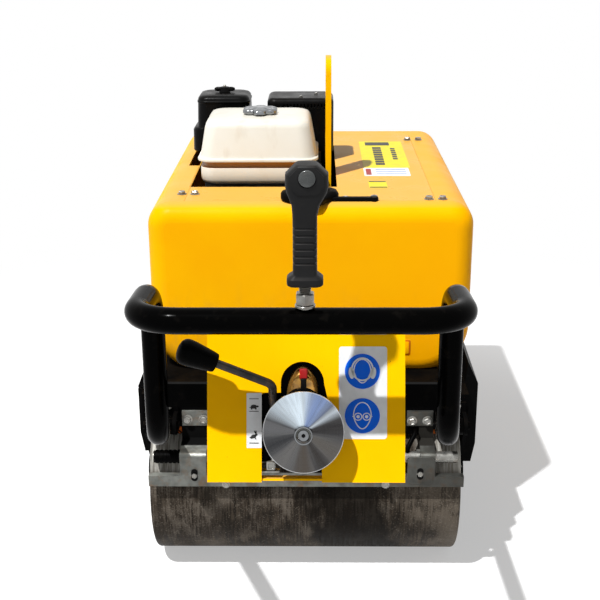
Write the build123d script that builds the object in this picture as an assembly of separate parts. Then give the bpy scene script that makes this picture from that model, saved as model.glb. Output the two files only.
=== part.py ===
from build123d import *
import os
from math import cos, radians, sin

# Walk-behind road roller with two smooth steel drums, millimetres, +Z up.
# The operator walks at -Y and holds the tiller; +Y runs along the machine to its far end.
# The origin is on the ground, halfway along the machine and halfway across its side covers.

# ---- Driving dimensions -------------------------------------------------------------------
DRUM_RADIUS = 175.0
DRUM_WIDTH = 650.0
DRUM_WALL = 12.0
DRUM_EDGE_ROUND = 8.0
DRUM_X = -5.0
FRONT_AXLE_Y = 47.0
WHEELBASE = 625.0
REAR_AXLE_Y = FRONT_AXLE_Y + WHEELBASE
AXLE_Z = DRUM_RADIUS

HEAD_DEPTH = 45.0
HEAD_THICK = 12.0
SHAFT_RADIUS = 25.0
RUNNING_FIT = 0.05

SIDE_GAP = 5.0
SIDE_THICK = 8.0
FRAME_BOTTOM_Z = 235.0
DECK_TOP_Z = 408.0
DECK_THICK = 10.0
OVERALL_HALF_WIDTH = 360.5

HOOD_X = 6.0
HOOD_HALF_WIDTH = 342.5
HOOD_FRONT_Y = 47.0
HOOD_REAR_Y = 862.0
HOOD_BOTTOM_Z = 411.0
HOOD_TOP_Z = 777.0
HOOD_WALL = 6.0
HOOD_TOP_ROUND = 50.0
HOOD_LOW_ROUND = 110.0
HOOD_FRONT_ROUND = 38.0
SKIRT_CUT = 16.0
PANEL_THICK = 3.0

TUBE_RADIUS = 17.5
BUTTON_REACH = 23.0
CROSSBAR_Y = BUTTON_REACH - HOOD_REAR_Y
CROSSBAR_Z = 854.0
LEG_Y = -662.0
LEG_TOP_Z = 837.0
LEG_FOOT_Z = 605.0
PIVOT_X = 298.0
PIVOT_Y = -108.0
PIVOT_Z = 352.0
TILLER_X = -2.5

os.makedirs("parts", exist_ok=True)


# ---- Small helpers --------------------------------------------------------------------------
def block(x, y, z):
    """A box between pairs of X, Y and Z limits."""
    middle = Pos((x[0] + x[1]) / 2, (y[0] + y[1]) / 2, (z[0] + z[1]) / 2)
    return middle * Box(x[1] - x[0], y[1] - y[0], z[1] - z[0])


def rod_x(radius, x, y, z):
    """A cylinder along X from x[0] to x[1]."""
    return Pos((x[0] + x[1]) / 2, y, z) * Rot(0, 90, 0) * Cylinder(radius, x[1] - x[0])


def rod_y(radius, x, y, z):
    """A cylinder along Y from y[0] to y[1]."""
    return Pos(x, (y[0] + y[1]) / 2, z) * Rot(90, 0, 0) * Cylinder(radius, y[1] - y[0])


def rod_z(radius, x, y, z):
    """A cylinder along Z from z[0] to z[1]."""
    return Pos(x, y, (z[0] + z[1]) / 2) * Cylinder(radius, z[1] - z[0])


def side_plate(points, x):
    """A plate whose outline is given by (y, z) points, from x[0] to x[1]."""
    face = Face(Polyline([(x[0], y, z) for y, z in points], close=True))
    return extrude(face, amount=x[1] - x[0], dir=(1, 0, 0))


def front_plate(points, y):
    """A plate whose outline is given by (x, z) points, from y[0] to y[1]."""
    face = Face(Polyline([(x, y[0], z) for x, z in points], close=True))
    return extrude(face, amount=y[1] - y[0], dir=(0, 1, 0))


def save(shape, node):
    export_step(shape, f"parts/{node}.step")


# ---- Drums ----------------------------------------------------------------------------------
def drum(axle_y):
    """A smooth steel drum with two inset heads and a stub shaft at each end."""
    half = DRUM_WIDTH / 2
    ends = (DRUM_X - half, DRUM_X + half)
    shell = rod_x(DRUM_RADIUS, ends, axle_y, AXLE_Z)
    shell = fillet(shell.edges().filter_by(GeomType.CIRCLE), DRUM_EDGE_ROUND)
    shell -= rod_x(DRUM_RADIUS - DRUM_WALL, ends, axle_y, AXLE_Z)
    for side in (-1, 1):
        outer = DRUM_X + side * (half - HEAD_DEPTH)
        inner = outer - side * HEAD_THICK
        shell += rod_x(DRUM_RADIUS - DRUM_WALL, sorted((inner, outer)), axle_y, AXLE_Z)
        tip = DRUM_X + side * half
        shell += rod_x(SHAFT_RADIUS, sorted((inner, tip)), axle_y, AXLE_Z)
    return shell


# ---- Chassis --------------------------------------------------------------------------------
BEARING_RADIUS = 52.0
BEARING_NECK_RADIUS = 42.0
BEARING_FLANGE = 14.0
BEARING_GAP = 5.0
LOBE_RADIUS = 62.0
SHAFT_HOLE_RADIUS = 32.0
FRAME_FRONT_Y = -78.0
FRAME_REAR_Y = REAR_AXLE_Y + FRONT_AXLE_Y - FRAME_FRONT_Y
FRAME_TOP_Z = DECK_TOP_Z - DECK_THICK
CROSS_LOW_Z = 318.0
NOSE_CUT = 60.0


def side_frame(side):
    """A long plate outside the drum ends, with a rounded lobe down to each axle."""
    inner = DRUM_X + side * (DRUM_WIDTH / 2 + SIDE_GAP)
    span = sorted((inner, inner + side * SIDE_THICK))
    plate = block(span, (FRAME_FRONT_Y, FRAME_REAR_Y), (FRAME_BOTTOM_Z, FRAME_TOP_Z))
    for nose_y, end in ((FRAME_FRONT_Y, -1), (FRAME_REAR_Y, 1)):
        corner = [(nose_y, FRAME_BOTTOM_Z), (nose_y - end * NOSE_CUT, FRAME_BOTTOM_Z), (nose_y, CROSS_LOW_Z)]
        plate -= side_plate(corner, span)
    for axle_y in (FRONT_AXLE_Y, REAR_AXLE_Y):
        plate += rod_x(LOBE_RADIUS, span, axle_y, AXLE_Z)
        plate += block(span, (axle_y - LOBE_RADIUS, axle_y + LOBE_RADIUS), (AXLE_Z, FRAME_TOP_Z))
        plate -= rod_x(SHAFT_HOLE_RADIUS, span, axle_y, AXLE_Z)
    return plate


def bearing(side, axle_y):
    """A flanged bearing housing inside the drum end, bolted to the side frame."""
    head = DRUM_X + side * (DRUM_WIDTH / 2 - HEAD_DEPTH + BEARING_GAP)
    plate = DRUM_X + side * (DRUM_WIDTH / 2 + SIDE_GAP)
    span = sorted((head, plate))
    flange = sorted((plate - side * BEARING_FLANGE, plate))
    housing = rod_x(BEARING_NECK_RADIUS, span, axle_y, AXLE_Z)
    housing += rod_x(BEARING_RADIUS, flange, axle_y, AXLE_Z)
    return housing - rod_x(SHAFT_RADIUS + RUNNING_FIT, span, axle_y, AXLE_Z)


COVER_BOTTOM_Z = {-1: 246.0, 1: 222.0}
COVER_TUCK = 8.0
COVER_TUCK_RISE = 45.0
COVER_SHOULDER_Z = {-1: 398.0, 1: 406.0}
COVER_ROOF_Z = 386.0
COVER_TOP_Z = 452.0
COVER_TOP_HALF_WIDTH = 339.0
COVER_TOP_LAND = 1.0
SEAM_Z = (393.0, 397.0)
SEAM_DEPTH = 12.0
COVER_Y = (-16.0, 704.0)
COVER_WALL = 4.0


def side_cover(side):
    """A hollow box outside the side frame, slanting in under the hood; the left one has an open seam."""
    root = DRUM_X + side * (DRUM_WIDTH / 2 + SIDE_GAP + SIDE_THICK)
    low = COVER_BOTTOM_Z[side]
    outline = [
        (root, low),
        (side * (OVERALL_HALF_WIDTH - COVER_TUCK), low),
        (side * OVERALL_HALF_WIDTH, low + COVER_TUCK_RISE),
        (side * OVERALL_HALF_WIDTH, COVER_SHOULDER_Z[side]),
        (side * COVER_TOP_HALF_WIDTH, COVER_TOP_Z),
        (side * (COVER_TOP_HALF_WIDTH - COVER_TOP_LAND), COVER_TOP_Z),
        (root, DECK_TOP_Z),
    ]
    hollow = [
        (root, low + COVER_WALL),
        (side * (OVERALL_HALF_WIDTH - COVER_TUCK - COVER_WALL), low + COVER_WALL),
        (side * (OVERALL_HALF_WIDTH - COVER_WALL), low + COVER_TUCK_RISE),
        (side * (OVERALL_HALF_WIDTH - COVER_WALL), COVER_ROOF_Z),
        (root, COVER_ROOF_Z),
    ]
    inside = (COVER_Y[0] + COVER_WALL, COVER_Y[1] - COVER_WALL)
    cover = front_plate(outline, COVER_Y) - front_plate(hollow, inside)
    if side < 0:
        cover -= block((-OVERALL_HALF_WIDTH, SEAM_DEPTH - OVERALL_HALF_WIDTH), COVER_Y, SEAM_Z)
    return cover


CROSS_PLATE = 12.0
CROSS_DEPTH = 46.0


def crossmember(end):
    """An angle-section beam that ties the side frames together above one end of the drums."""
    nose = FRAME_FRONT_Y if end < 0 else FRAME_REAR_Y
    reach = DRUM_WIDTH / 2 + SIDE_GAP
    x = (DRUM_X - reach, DRUM_X + reach)
    face = block(x, sorted((nose, nose - end * CROSS_PLATE)), (CROSS_LOW_Z, FRAME_TOP_Z))
    shelf = block(x, sorted((nose, nose - end * CROSS_DEPTH)), (FRAME_TOP_Z - CROSS_PLATE, FRAME_TOP_Z))
    return face + shelf


def deck():
    """The plate that closes the chassis on top and carries engine and hood."""
    reach = DRUM_WIDTH / 2 + SIDE_GAP + SIDE_THICK
    return block((DRUM_X - reach, DRUM_X + reach), (FRAME_FRONT_Y, FRAME_REAR_Y), (FRAME_TOP_Z, DECK_TOP_Z))


EXCITER_Y = (FRONT_AXLE_Y + REAR_AXLE_Y) / 2
EXCITER_Z = 280.0
EXCITER_RADIUS = 60.0
EXCITER_FLANGE_RADIUS = 74.0
EXCITER_FLANGE = 16.0


def exciter_housing():
    """The closed vibrator tube between the drums, flanged to both side frames."""
    reach = DRUM_WIDTH / 2 + SIDE_GAP
    body = rod_x(EXCITER_RADIUS, (DRUM_X - reach, DRUM_X + reach), EXCITER_Y, EXCITER_Z)
    for side in (-1, 1):
        outer = DRUM_X + side * reach
        flange = sorted((outer, outer - side * EXCITER_FLANGE))
        body += rod_x(EXCITER_FLANGE_RADIUS, flange, EXCITER_Y, EXCITER_Z)
    return body


# ---- Scrapers and spray pipes ---------------------------------------------------------------
SCRAPER_REACH = HOOD_REAR_Y - REAR_AXLE_Y
SCRAPER_HALF_LENGTH = 324.5
SCRAPER_X = -3.0
SCRAPER_Z = (229.0, 252.5)
SCRAPER_THICK = 4.0
SCRAPER_FLANGE = 16.0
BRACKET_X = 234.7
BRACKET_HALF_WIDTH = 27.3
NARROW_BRACKET_INNER_X = 232.0
BRACKET_THICK = 4.0
BRACKET_FOLD_Z = 302.0
BRACKET_RISE = 9.0
BRACKET_TOP_Z = 337.0
BRACKET_BEND = 10.0


def axle_of(end):
    return FRONT_AXLE_Y if end < 0 else REAR_AXLE_Y


def scraper(end):
    """An angle bar lying just off the drum face, with its flange turned towards the drum."""
    outer = axle_of(end) + end * SCRAPER_REACH
    x = (SCRAPER_X - SCRAPER_HALF_LENGTH, SCRAPER_X + SCRAPER_HALF_LENGTH)
    web = block(x, sorted((outer, outer - end * SCRAPER_THICK)), SCRAPER_Z)
    top = (SCRAPER_Z[1] - SCRAPER_THICK, SCRAPER_Z[1])
    return web + block(x, sorted((outer, outer - end * SCRAPER_FLANGE)), top)


def end_plane(end):
    """The Y of the outermost face of the chassis at one end."""
    return FRAME_FRONT_Y if end < 0 else FRAME_REAR_Y


def bracket_shelf_z(end, y):
    """Height of the top of the bracket's gently rising shelf at one Y."""
    face = axle_of(end) + end * SCRAPER_REACH
    share = (y - face) / (end_plane(end) - face)
    return BRACKET_FOLD_Z + share * BRACKET_RISE


def scraper_bracket(end, side):
    """A folded sheet strap: a foot up the crossmember, a shelf, and a face down to the scraper bar."""
    x = sorted((side * (BRACKET_X - BRACKET_HALF_WIDTH), side * (BRACKET_X + BRACKET_HALF_WIDTH)))
    if end < 0 < side:
        x[0] = NARROW_BRACKET_INNER_X
    face = axle_of(end) + end * SCRAPER_REACH
    back = face - end * BRACKET_THICK
    nose = end_plane(end)
    foot = nose + end * BRACKET_THICK
    outline = [
        (back, SCRAPER_Z[1]),
        (back, bracket_shelf_z(end, back) - BRACKET_THICK),
        (nose, bracket_shelf_z(end, nose) - BRACKET_THICK),
        (nose, BRACKET_TOP_Z),
        (foot, BRACKET_TOP_Z),
        (foot, bracket_shelf_z(end, foot)),
        (face, BRACKET_FOLD_Z),
        (face, SCRAPER_Z[1]),
    ]
    strap = side_plate(outline, x)
    bend = [e for e in strap.edges().filter_by(Axis.X) if abs(e.center().Y - face) < 1]
    bend = [e for e in bend if e.center().Z > BRACKET_FOLD_Z - 1]
    return fillet(bend, BRACKET_BEND)


SPRAY_RADIUS = 12.0
SPRAY_REACH = 167.0
SPRAY_Z = 286.0
SPRAY_X = (-318.0, 309.0)
HANGER_WIDTH = 20.0
HANGER_THICK = 8.0


def spray_pipe(end):
    """The water pipe along the drum, with a lug up to each scraper bracket."""
    y = axle_of(end) + end * SPRAY_REACH
    pipe = rod_x(SPRAY_RADIUS, SPRAY_X, y, SPRAY_Z)
    for side in (-1, 1):
        x_mid = side * BRACKET_X
        edges = (y - HANGER_THICK / 2, y + HANGER_THICK / 2)
        lug = [(edges[0], SPRAY_Z), (edges[1], SPRAY_Z)]
        lug += [(edge, bracket_shelf_z(end, edge) - BRACKET_THICK) for edge in reversed(edges)]
        pipe += side_plate(lug, (x_mid - HANGER_WIDTH / 2, x_mid + HANGER_WIDTH / 2))
    return pipe


HOSE_RADIUS = 5.0
HOSE_START = (224.0, FRAME_FRONT_Y, 330.0)
HOSE_OUT_Y = -96.0
HOSE_END_X = 206.0
HOSE_DROP_Z = 306.0
HOSE_BEND = 14.0


def front_water_hose():
    """The short hose from the front crossmember down into the front spray pipe."""
    pipe_y = FRONT_AXLE_Y - SPRAY_REACH
    out = (HOSE_START[0], HOSE_OUT_Y, HOSE_START[2])
    points = [HOSE_START, out, (HOSE_END_X, pipe_y, HOSE_DROP_Z), (HOSE_END_X, pipe_y, SPRAY_Z)]
    path = FilletPolyline(*points, radius=HOSE_BEND)
    hose = sweep(Plane(origin=path @ 0, z_dir=path % 0) * Circle(HOSE_RADIUS), path=path)
    return hose - rod_x(SPRAY_RADIUS, SPRAY_X, pipe_y, SPRAY_Z)


# ---- Tiller pivot ---------------------------------------------------------------------------
EAR_THICK = 8.0
EAR_GAP = 24.0
EAR_RADIUS = 20.0
PIN_RADIUS = 8.0
BOSS_RADIUS = 19.0
PIVOT_PLATE_THICK = 6.0
PIVOT_PLATE_Z = (330.0, 392.0)
PIN_OVERHANG = 5.0
BOLT_PLATE_X = 233.5
BOLT_PLATE_HALF = 27.0
BOLT_PLATE_Z = (339.0, 372.0)


def pivot_bracket(side):
    """A plate bolted to the front crossmember with two ears and the tiller's pivot pin."""
    x_mid = TILLER_X + side * PIVOT_X
    face = FRAME_FRONT_Y
    outer = EAR_GAP + EAR_THICK
    shape = block((x_mid - outer, x_mid + outer), (face - PIVOT_PLATE_THICK, face), PIVOT_PLATE_Z)
    for ear in (-1, 1):
        x = sorted((x_mid + ear * EAR_GAP, x_mid + ear * outer))
        shape += block(x, (PIVOT_Y, face), (PIVOT_Z - EAR_RADIUS, PIVOT_Z + EAR_RADIUS))
        shape += rod_x(EAR_RADIUS, x, PIVOT_Y, PIVOT_Z)
    reach = outer + PIN_OVERHANG
    shape += rod_x(PIN_RADIUS, (x_mid - reach, x_mid + reach), PIVOT_Y, PIVOT_Z)
    return shape


def bolt_plate(side):
    """A small two-bolt plate on the front crossmember."""
    x_mid = side * BOLT_PLATE_X
    x = (x_mid - BOLT_PLATE_HALF, x_mid + BOLT_PLATE_HALF)
    return block(x, (FRAME_FRONT_Y - PIVOT_PLATE_THICK, FRAME_FRONT_Y), BOLT_PLATE_Z)


# ---- Hood -----------------------------------------------------------------------------------
PANEL_X = (-258.5, 268.0)
PANEL_Y = (88.0, 804.0)
PANEL_GAP = 0.5
PANEL_LIP = 12.0
OPENING_X = (-261.0, 64.0)
OPENING_Y = (210.0, 667.0)
OPENING_WIDE_X = -286.0
OPENING_WIDE_Y = 428.0
FILLER_X = 4.5
FILLER_Y = 99.0
FILLER_RADIUS = 26.0


def hood_form(inset, y):
    """The hood's outer form, or its inside when inset by the wall, before the skirt is cut level."""
    half = HOOD_HALF_WIDTH - inset
    low = HOOD_BOTTOM_Z - SKIRT_CUT + inset
    shape = block((HOOD_X - half, HOOD_X + half), y, (low, HOOD_TOP_Z - inset))
    top = [e for e in shape.edges().filter_by(Axis.Y) if e.center().Z > low + 1]
    shape = fillet(top, HOOD_TOP_ROUND - inset)
    bottom = [e for e in shape.edges().filter_by(Axis.Y) if e.center().Z < low + 1]
    shape = fillet(bottom, HOOD_LOW_ROUND - inset)
    rim = shape.faces().sort_by(Axis.Y)[0].edges()
    return fillet(rim, HOOD_FRONT_ROUND - inset)


def hood():
    """The moulded hood: a thin open-bottomed shell with a recessed top and an engine opening."""
    shell = hood_form(0, (HOOD_FRONT_Y, HOOD_REAR_Y))
    shell -= hood_form(HOOD_WALL, (HOOD_FRONT_Y + HOOD_WALL, HOOD_REAR_Y - HOOD_WALL))
    width = (HOOD_X - HOOD_HALF_WIDTH, HOOD_X + HOOD_HALF_WIDTH)
    shell -= block(width, (HOOD_FRONT_Y, HOOD_REAR_Y), (0, HOOD_BOTTOM_Z))
    recess_z = (HOOD_TOP_Z - PANEL_THICK, HOOD_TOP_Z)
    shell -= block(PANEL_X, PANEL_Y, recess_z)
    lip_x = (PANEL_X[0] + PANEL_LIP, PANEL_X[1] - PANEL_LIP)
    lip_y = (PANEL_Y[0] + PANEL_LIP, PANEL_Y[1] - PANEL_LIP)
    through = (HOOD_TOP_Z - 2 * HOOD_WALL, HOOD_TOP_Z)
    shell -= block(lip_x, lip_y, through)
    shell -= block((OPENING_X[0], 0), OPENING_Y, through)
    shell -= block((OPENING_WIDE_X, 0), (OPENING_WIDE_Y, OPENING_Y[1]), through)
    shell += rod_z(FILLER_RADIUS, FILLER_X, FILLER_Y, (HOOD_TOP_Z - 2 * HOOD_WALL, HOOD_TOP_Z - PANEL_THICK))
    return shell


def top_panel():
    """The flat sheet bolted into the hood's top, cut away over the engine."""
    x = (PANEL_X[0] + PANEL_GAP, PANEL_X[1] - PANEL_GAP)
    y = (PANEL_Y[0] + PANEL_GAP, PANEL_Y[1] - PANEL_GAP)
    z = (HOOD_TOP_Z - PANEL_THICK, HOOD_TOP_Z)
    return block(x, y, z) - block(OPENING_X, OPENING_Y, z)


CAP_RADIUS = 60.0
CAP_BODY_RADIUS = 48.0
CAP_LOBE_RADIUS = 19.0
CAP_LOBES = 4
CAP_TURN = 8.0
CAP_HEIGHT = 27.0
LOBE_HEIGHT = 21.0
STRAP_REACH = 141.0
STRAP_Y = (-20.0, -8.0)
STRAP_THICK = 6.0


def water_cap():
    """The filler cap of the water tank: a low dome with grip lobes and a tether strap."""
    base = HOOD_TOP_Z
    cap = rod_z(CAP_BODY_RADIUS, FILLER_X, FILLER_Y, (base, base + CAP_HEIGHT))
    spread = CAP_RADIUS - CAP_LOBE_RADIUS
    for k in range(CAP_LOBES):
        turn = radians(360 / CAP_LOBES * k + CAP_TURN)
        x = FILLER_X + spread * cos(turn)
        y = FILLER_Y + spread * sin(turn)
        cap += rod_z(CAP_LOBE_RADIUS, x, y, (base, base + LOBE_HEIGHT))
    strap_x = (FILLER_X + CAP_BODY_RADIUS - STRAP_THICK, FILLER_X + STRAP_REACH)
    strap_y = (FILLER_Y + STRAP_Y[0], FILLER_Y + STRAP_Y[1])
    return cap + block(strap_x, strap_y, (base, base + STRAP_THICK))


# ---- Engine ---------------------------------------------------------------------------------
ENGINE_X = (-232.0, 30.0)
ENGINE_Y = (266.0, 604.0)
ENGINE_Z = (545.0, 774.0)
CYLINDER_Y = 472.0
CYLINDER_TOP_Z = 800.0
BED_Z = (535.0, 545.0)
BED_WALL = 12.0
BED_WALL_INSET = 14.0


def engine_bed():
    """The raised mounting frame under the engine: a plate on two cross walls."""
    bed = block(ENGINE_X, ENGINE_Y, BED_Z)
    near = ENGINE_Y[0] + BED_WALL_INSET
    far = ENGINE_Y[1] - BED_WALL_INSET
    bed += block(ENGINE_X, (near, near + BED_WALL), (DECK_TOP_Z, BED_Z[0]))
    return bed + block(ENGINE_X, (far - BED_WALL, far), (DECK_TOP_Z, BED_Z[0]))


def engine_block():
    """The engine as one plain block: crankcase below the fuel tank, cylinder side behind it."""
    case = block(ENGINE_X, ENGINE_Y, ENGINE_Z)
    return case + block(ENGINE_X, (CYLINDER_Y, ENGINE_Y[1]), (ENGINE_Z[1], CYLINDER_TOP_Z))


RECOIL_RADIUS = 108.0
RECOIL_DEPTH = 36.0
RECOIL_X = -110.0
RECOIL_Z = 655.0


def recoil_cover():
    """The round recoil starter and fan cover on the operator's side of the engine."""
    y = (ENGINE_Y[0] - RECOIL_DEPTH, ENGINE_Y[0])
    return rod_y(RECOIL_RADIUS, RECOIL_X, y, RECOIL_Z)


TANK_X = (-240.0, 17.0)
TANK_Y = (238.0, 456.0)
TANK_TOP_Z = 916.0
TANK_SEAM_Z = (826.0, 833.0)
TANK_NECK_Z = 813.0
TANK_NECK_INSET = 8.0
TANK_FLANGE = 6.0
TANK_ROUND = 30.0
TANK_TAPER = 13.0
TANK_TOP_ROUND = 13.0
TANK_LOW_ROUND = 18.0


def tank_section(grow, z):
    """One rounded level section of the fuel tank, grown or shrunk on every side."""
    wide = TANK_X[1] - TANK_X[0] + 2 * grow
    deep = TANK_Y[1] - TANK_Y[0] + 2 * grow
    middle = Pos((TANK_X[0] + TANK_X[1]) / 2, (TANK_Y[0] + TANK_Y[1]) / 2, z)
    return middle * RectangleRounded(wide, deep, TANK_ROUND + grow)


def fuel_tank():
    """Two moulded half shells, closed: a tapered upper one, a flange, and a shallow lower one."""
    upper = loft([tank_section(0, TANK_SEAM_Z[1]), tank_section(-TANK_TAPER, TANK_TOP_Z)])
    upper = fillet(upper.faces().sort_by(Axis.Z)[-1].edges(), TANK_TOP_ROUND)
    flange = extrude(tank_section(TANK_FLANGE, TANK_SEAM_Z[0]), amount=TANK_SEAM_Z[1] - TANK_SEAM_Z[0])
    neck = extrude(tank_section(-TANK_NECK_INSET, TANK_NECK_Z), amount=TANK_SEAM_Z[0] - TANK_NECK_Z)
    lower = extrude(tank_section(0, ENGINE_Z[1]), amount=TANK_NECK_Z - ENGINE_Z[1])
    lower = fillet(lower.faces().sort_by(Axis.Z)[0].edges(), TANK_LOW_ROUND)
    return upper + flange + neck + lower


FUEL_CAP_X = -108.5
FUEL_CAP_Y = 334.0
FUEL_CAP_RADIUS = 37.0
FUEL_CAP_HEIGHT = 18.0
FUEL_CAP_ROUND = 6.0


def fuel_cap():
    """The round fuel filler cap."""
    cap = rod_z(FUEL_CAP_RADIUS, FUEL_CAP_X, FUEL_CAP_Y, (TANK_TOP_Z, TANK_TOP_Z + FUEL_CAP_HEIGHT))
    return fillet(cap.faces().sort_by(Axis.Z)[-1].edges(), FUEL_CAP_ROUND)


AIR_X = (-268.0, -140.0)
AIR_Y = (474.0, 596.0)
AIR_Z = (CYLINDER_TOP_Z, 935.0)
AIR_BASE_X = (-280.0, -140.0)
AIR_BASE_TOP_Z = 858.0
AIR_ROUND = 26.0
AIR_TOP_ROUND = 12.0


def air_cleaner():
    """The upright air cleaner: a rounded cover on a wider base."""
    cover = block(AIR_X, AIR_Y, AIR_Z)
    cover = fillet(cover.edges().filter_by(Axis.Z), AIR_ROUND)
    cover = fillet(cover.faces().sort_by(Axis.Z)[-1].edges(), AIR_TOP_ROUND)
    base = block(AIR_BASE_X, AIR_Y, (AIR_Z[0], AIR_BASE_TOP_Z))
    return cover + fillet(base.edges().filter_by(Axis.Z), AIR_ROUND)


KNOB_STEM_RADIUS = 12.0
KNOB_HALF = (25.0, 6.0)
KNOB_Z = (2.0, 13.0)


def air_cleaner_knob():
    """The wing knob that holds the air cleaner cover."""
    x = (AIR_X[0] + AIR_X[1]) / 2
    y = (AIR_Y[0] + AIR_Y[1]) / 2
    z = (AIR_Z[1] + KNOB_Z[0], AIR_Z[1] + KNOB_Z[1])
    stem = rod_z(KNOB_STEM_RADIUS, x, y, (AIR_Z[1], z[1]))
    return stem + block((x - KNOB_HALF[0], x + KNOB_HALF[0]), (y - KNOB_HALF[1], y + KNOB_HALF[1]), z)


GUARD_X = (-99.0, 60.0)
GUARD_Y = (476.0, 602.0)
GUARD_Z = (CYLINDER_TOP_Z, 928.0)
GUARD_WALL = 3.0
GUARD_ROUND = 20.0
GUARD_TOP_ROUND = 12.0
LOUVRES = 13
LOUVRE_X = (-58.6, 39.3)
LOUVRE_WIDTH = 3.2
LOUVRE_Z = (901.0, 915.0)


def guard_form(inset):
    """The guard's outer form, or its inside when inset by the wall."""
    x = (GUARD_X[0] + inset, GUARD_X[1] - inset)
    y = (GUARD_Y[0] + inset, GUARD_Y[1] - inset)
    form = block(x, y, (GUARD_Z[0], GUARD_Z[1] - inset))
    form = fillet(form.edges().filter_by(Axis.Z), GUARD_ROUND - inset)
    return fillet(form.faces().sort_by(Axis.Z)[-1].edges(), GUARD_TOP_ROUND - inset)


def muffler_guard():
    """The folded sheet guard over the exhaust, louvred on the side above the tank."""
    guard = guard_form(0) - guard_form(GUARD_WALL)
    pitch = (LOUVRE_X[1] - LOUVRE_X[0]) / (LOUVRES - 1)
    for k in range(LOUVRES):
        x = LOUVRE_X[0] + pitch * k
        slot = (x - LOUVRE_WIDTH / 2, x + LOUVRE_WIDTH / 2)
        guard -= block(slot, (GUARD_Y[0], GUARD_Y[0] + GUARD_WALL), LOUVRE_Z)
    return guard


MUFFLER_GAP = 20.0
MUFFLER_TOP_Z = 905.0


def muffler():
    """The closed exhaust silencer inside its guard."""
    x = (GUARD_X[0] + MUFFLER_GAP, GUARD_X[1] - MUFFLER_GAP)
    y = (GUARD_Y[0] + MUFFLER_GAP, GUARD_Y[1] - MUFFLER_GAP)
    return block(x, y, (CYLINDER_TOP_Z, MUFFLER_TOP_Z))


LIFT_X = (39.5, 52.0)
LIFT_Y = 342.0
LIFT_HALF_WIDTH = 35.0
LIFT_TOP_Z = 1046.0
LIFT_HOLE_RADIUS = 20.0
LIFT_HOLES_Z = (870.0, 975.0)


def lifting_bar():
    """The upright flat bar over the balance point, with two lifting holes."""
    y = (LIFT_Y - LIFT_HALF_WIDTH, LIFT_Y + LIFT_HALF_WIDTH)
    bar = block(LIFT_X, y, (DECK_TOP_Z, LIFT_TOP_Z - LIFT_HALF_WIDTH))
    bar += rod_x(LIFT_HALF_WIDTH, LIFT_X, LIFT_Y, LIFT_TOP_Z - LIFT_HALF_WIDTH)
    for z in LIFT_HOLES_Z:
        bar -= rod_x(LIFT_HOLE_RADIUS, LIFT_X, LIFT_Y, z)
    return bar


# ---- Tiller ---------------------------------------------------------------------------------
HANDLE_HALF = 217.0
LEG_HALF = 217.0
BEND_RADIUS = 60.0
TIE_THICK = 8.0
TIE_Z = (652.0, 690.0)


def tiller_path(side):
    """Corner points of one side of the loop, from the crossbar's end to the pivot."""
    return [
        (TILLER_X + side * HANDLE_HALF, CROSSBAR_Y, CROSSBAR_Z),
        (TILLER_X + side * LEG_HALF, LEG_Y, LEG_TOP_Z),
        (TILLER_X + side * LEG_HALF, LEG_Y, LEG_FOOT_Z),
        (TILLER_X + side * PIVOT_X, PIVOT_Y, PIVOT_Z),
    ]


def handle_loop():
    """The bent steel tube that the operator holds, with a tie plate and a boss at each foot."""
    points = tiller_path(-1)[::-1] + tiller_path(1)
    path = FilletPolyline(*points, radius=BEND_RADIUS)
    start = Plane(origin=path @ 0, z_dir=path % 0)
    loop = sweep(start * Circle(TUBE_RADIUS), path=path)
    tie_x = (TILLER_X - LEG_HALF, TILLER_X + LEG_HALF)
    loop += block(tie_x, (LEG_Y - TIE_THICK / 2, LEG_Y + TIE_THICK / 2), TIE_Z)
    for side in (-1, 1):
        x_mid = TILLER_X + side * PIVOT_X
        boss = (x_mid - EAR_GAP + 1, x_mid + EAR_GAP - 1)
        loop += rod_x(BOSS_RADIUS, boss, PIVOT_Y, PIVOT_Z)
        loop -= rod_x(PIN_RADIUS + RUNNING_FIT, (x_mid - 2 * EAR_GAP, x_mid + 2 * EAR_GAP), PIVOT_Y, PIVOT_Z)
    return loop


PANEL_LEAN = 19.0
PANEL_HALF = 137.3
PANEL_LOW = -111.7
PANEL_HIGH = 112.0
PANEL_SHEET = 3.0
PANEL_FLANGE = 32.0
BOX_BACK = 86.0
CONTROL_X = 4.0
CONTROL_Y = -764.0
CONTROL_Z = 706.0
ARCH_X = -5.0
ARCH_UP = 26.0
ARCH_RADIUS = 30.0
CUT_LEFT = -61.7
CUT_SHOULDER_UP = 13.0
CUT_ROUND = 5.0
CUT_RIGHT = 22.0
CUT_RIGHT_LOW = -60.0
CUT_RIGHT_FLARE = 6.0
BOTTOM_FOLD = 1.7


def on_panel(shape):
    """Places a shape drawn on a flat panel: X across, Y inwards, Z up its slope."""
    return Pos(CONTROL_X, CONTROL_Y, CONTROL_Z) * Rot(-PANEL_LEAN, 0, 0) * shape


def panel_cut():
    """The lever opening: a wide slot, open at the bottom, that runs up into a round arch."""
    outline = [
        (CUT_LEFT, PANEL_LOW),
        (CUT_LEFT, CUT_SHOULDER_UP),
        (ARCH_X - ARCH_RADIUS, CUT_SHOULDER_UP),
        (ARCH_X - ARCH_RADIUS, ARCH_UP),
        (ARCH_X + ARCH_RADIUS, ARCH_UP),
        (ARCH_X + ARCH_RADIUS + CUT_RIGHT_FLARE, 0),
        (CUT_RIGHT, CUT_RIGHT_LOW),
        (CUT_RIGHT, PANEL_LOW),
    ]
    slot = front_plate(outline, (0, PANEL_SHEET))
    corner = [e for e in slot.edges().filter_by(Axis.Y) if abs(e.center().X - CUT_LEFT) < 1]
    corner = [e for e in corner if e.center().Z > PANEL_LOW + 1]
    return fillet(corner, CUT_ROUND) + rod_y(ARCH_RADIUS, ARCH_X, (0, PANEL_SHEET), ARCH_UP)


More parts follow.
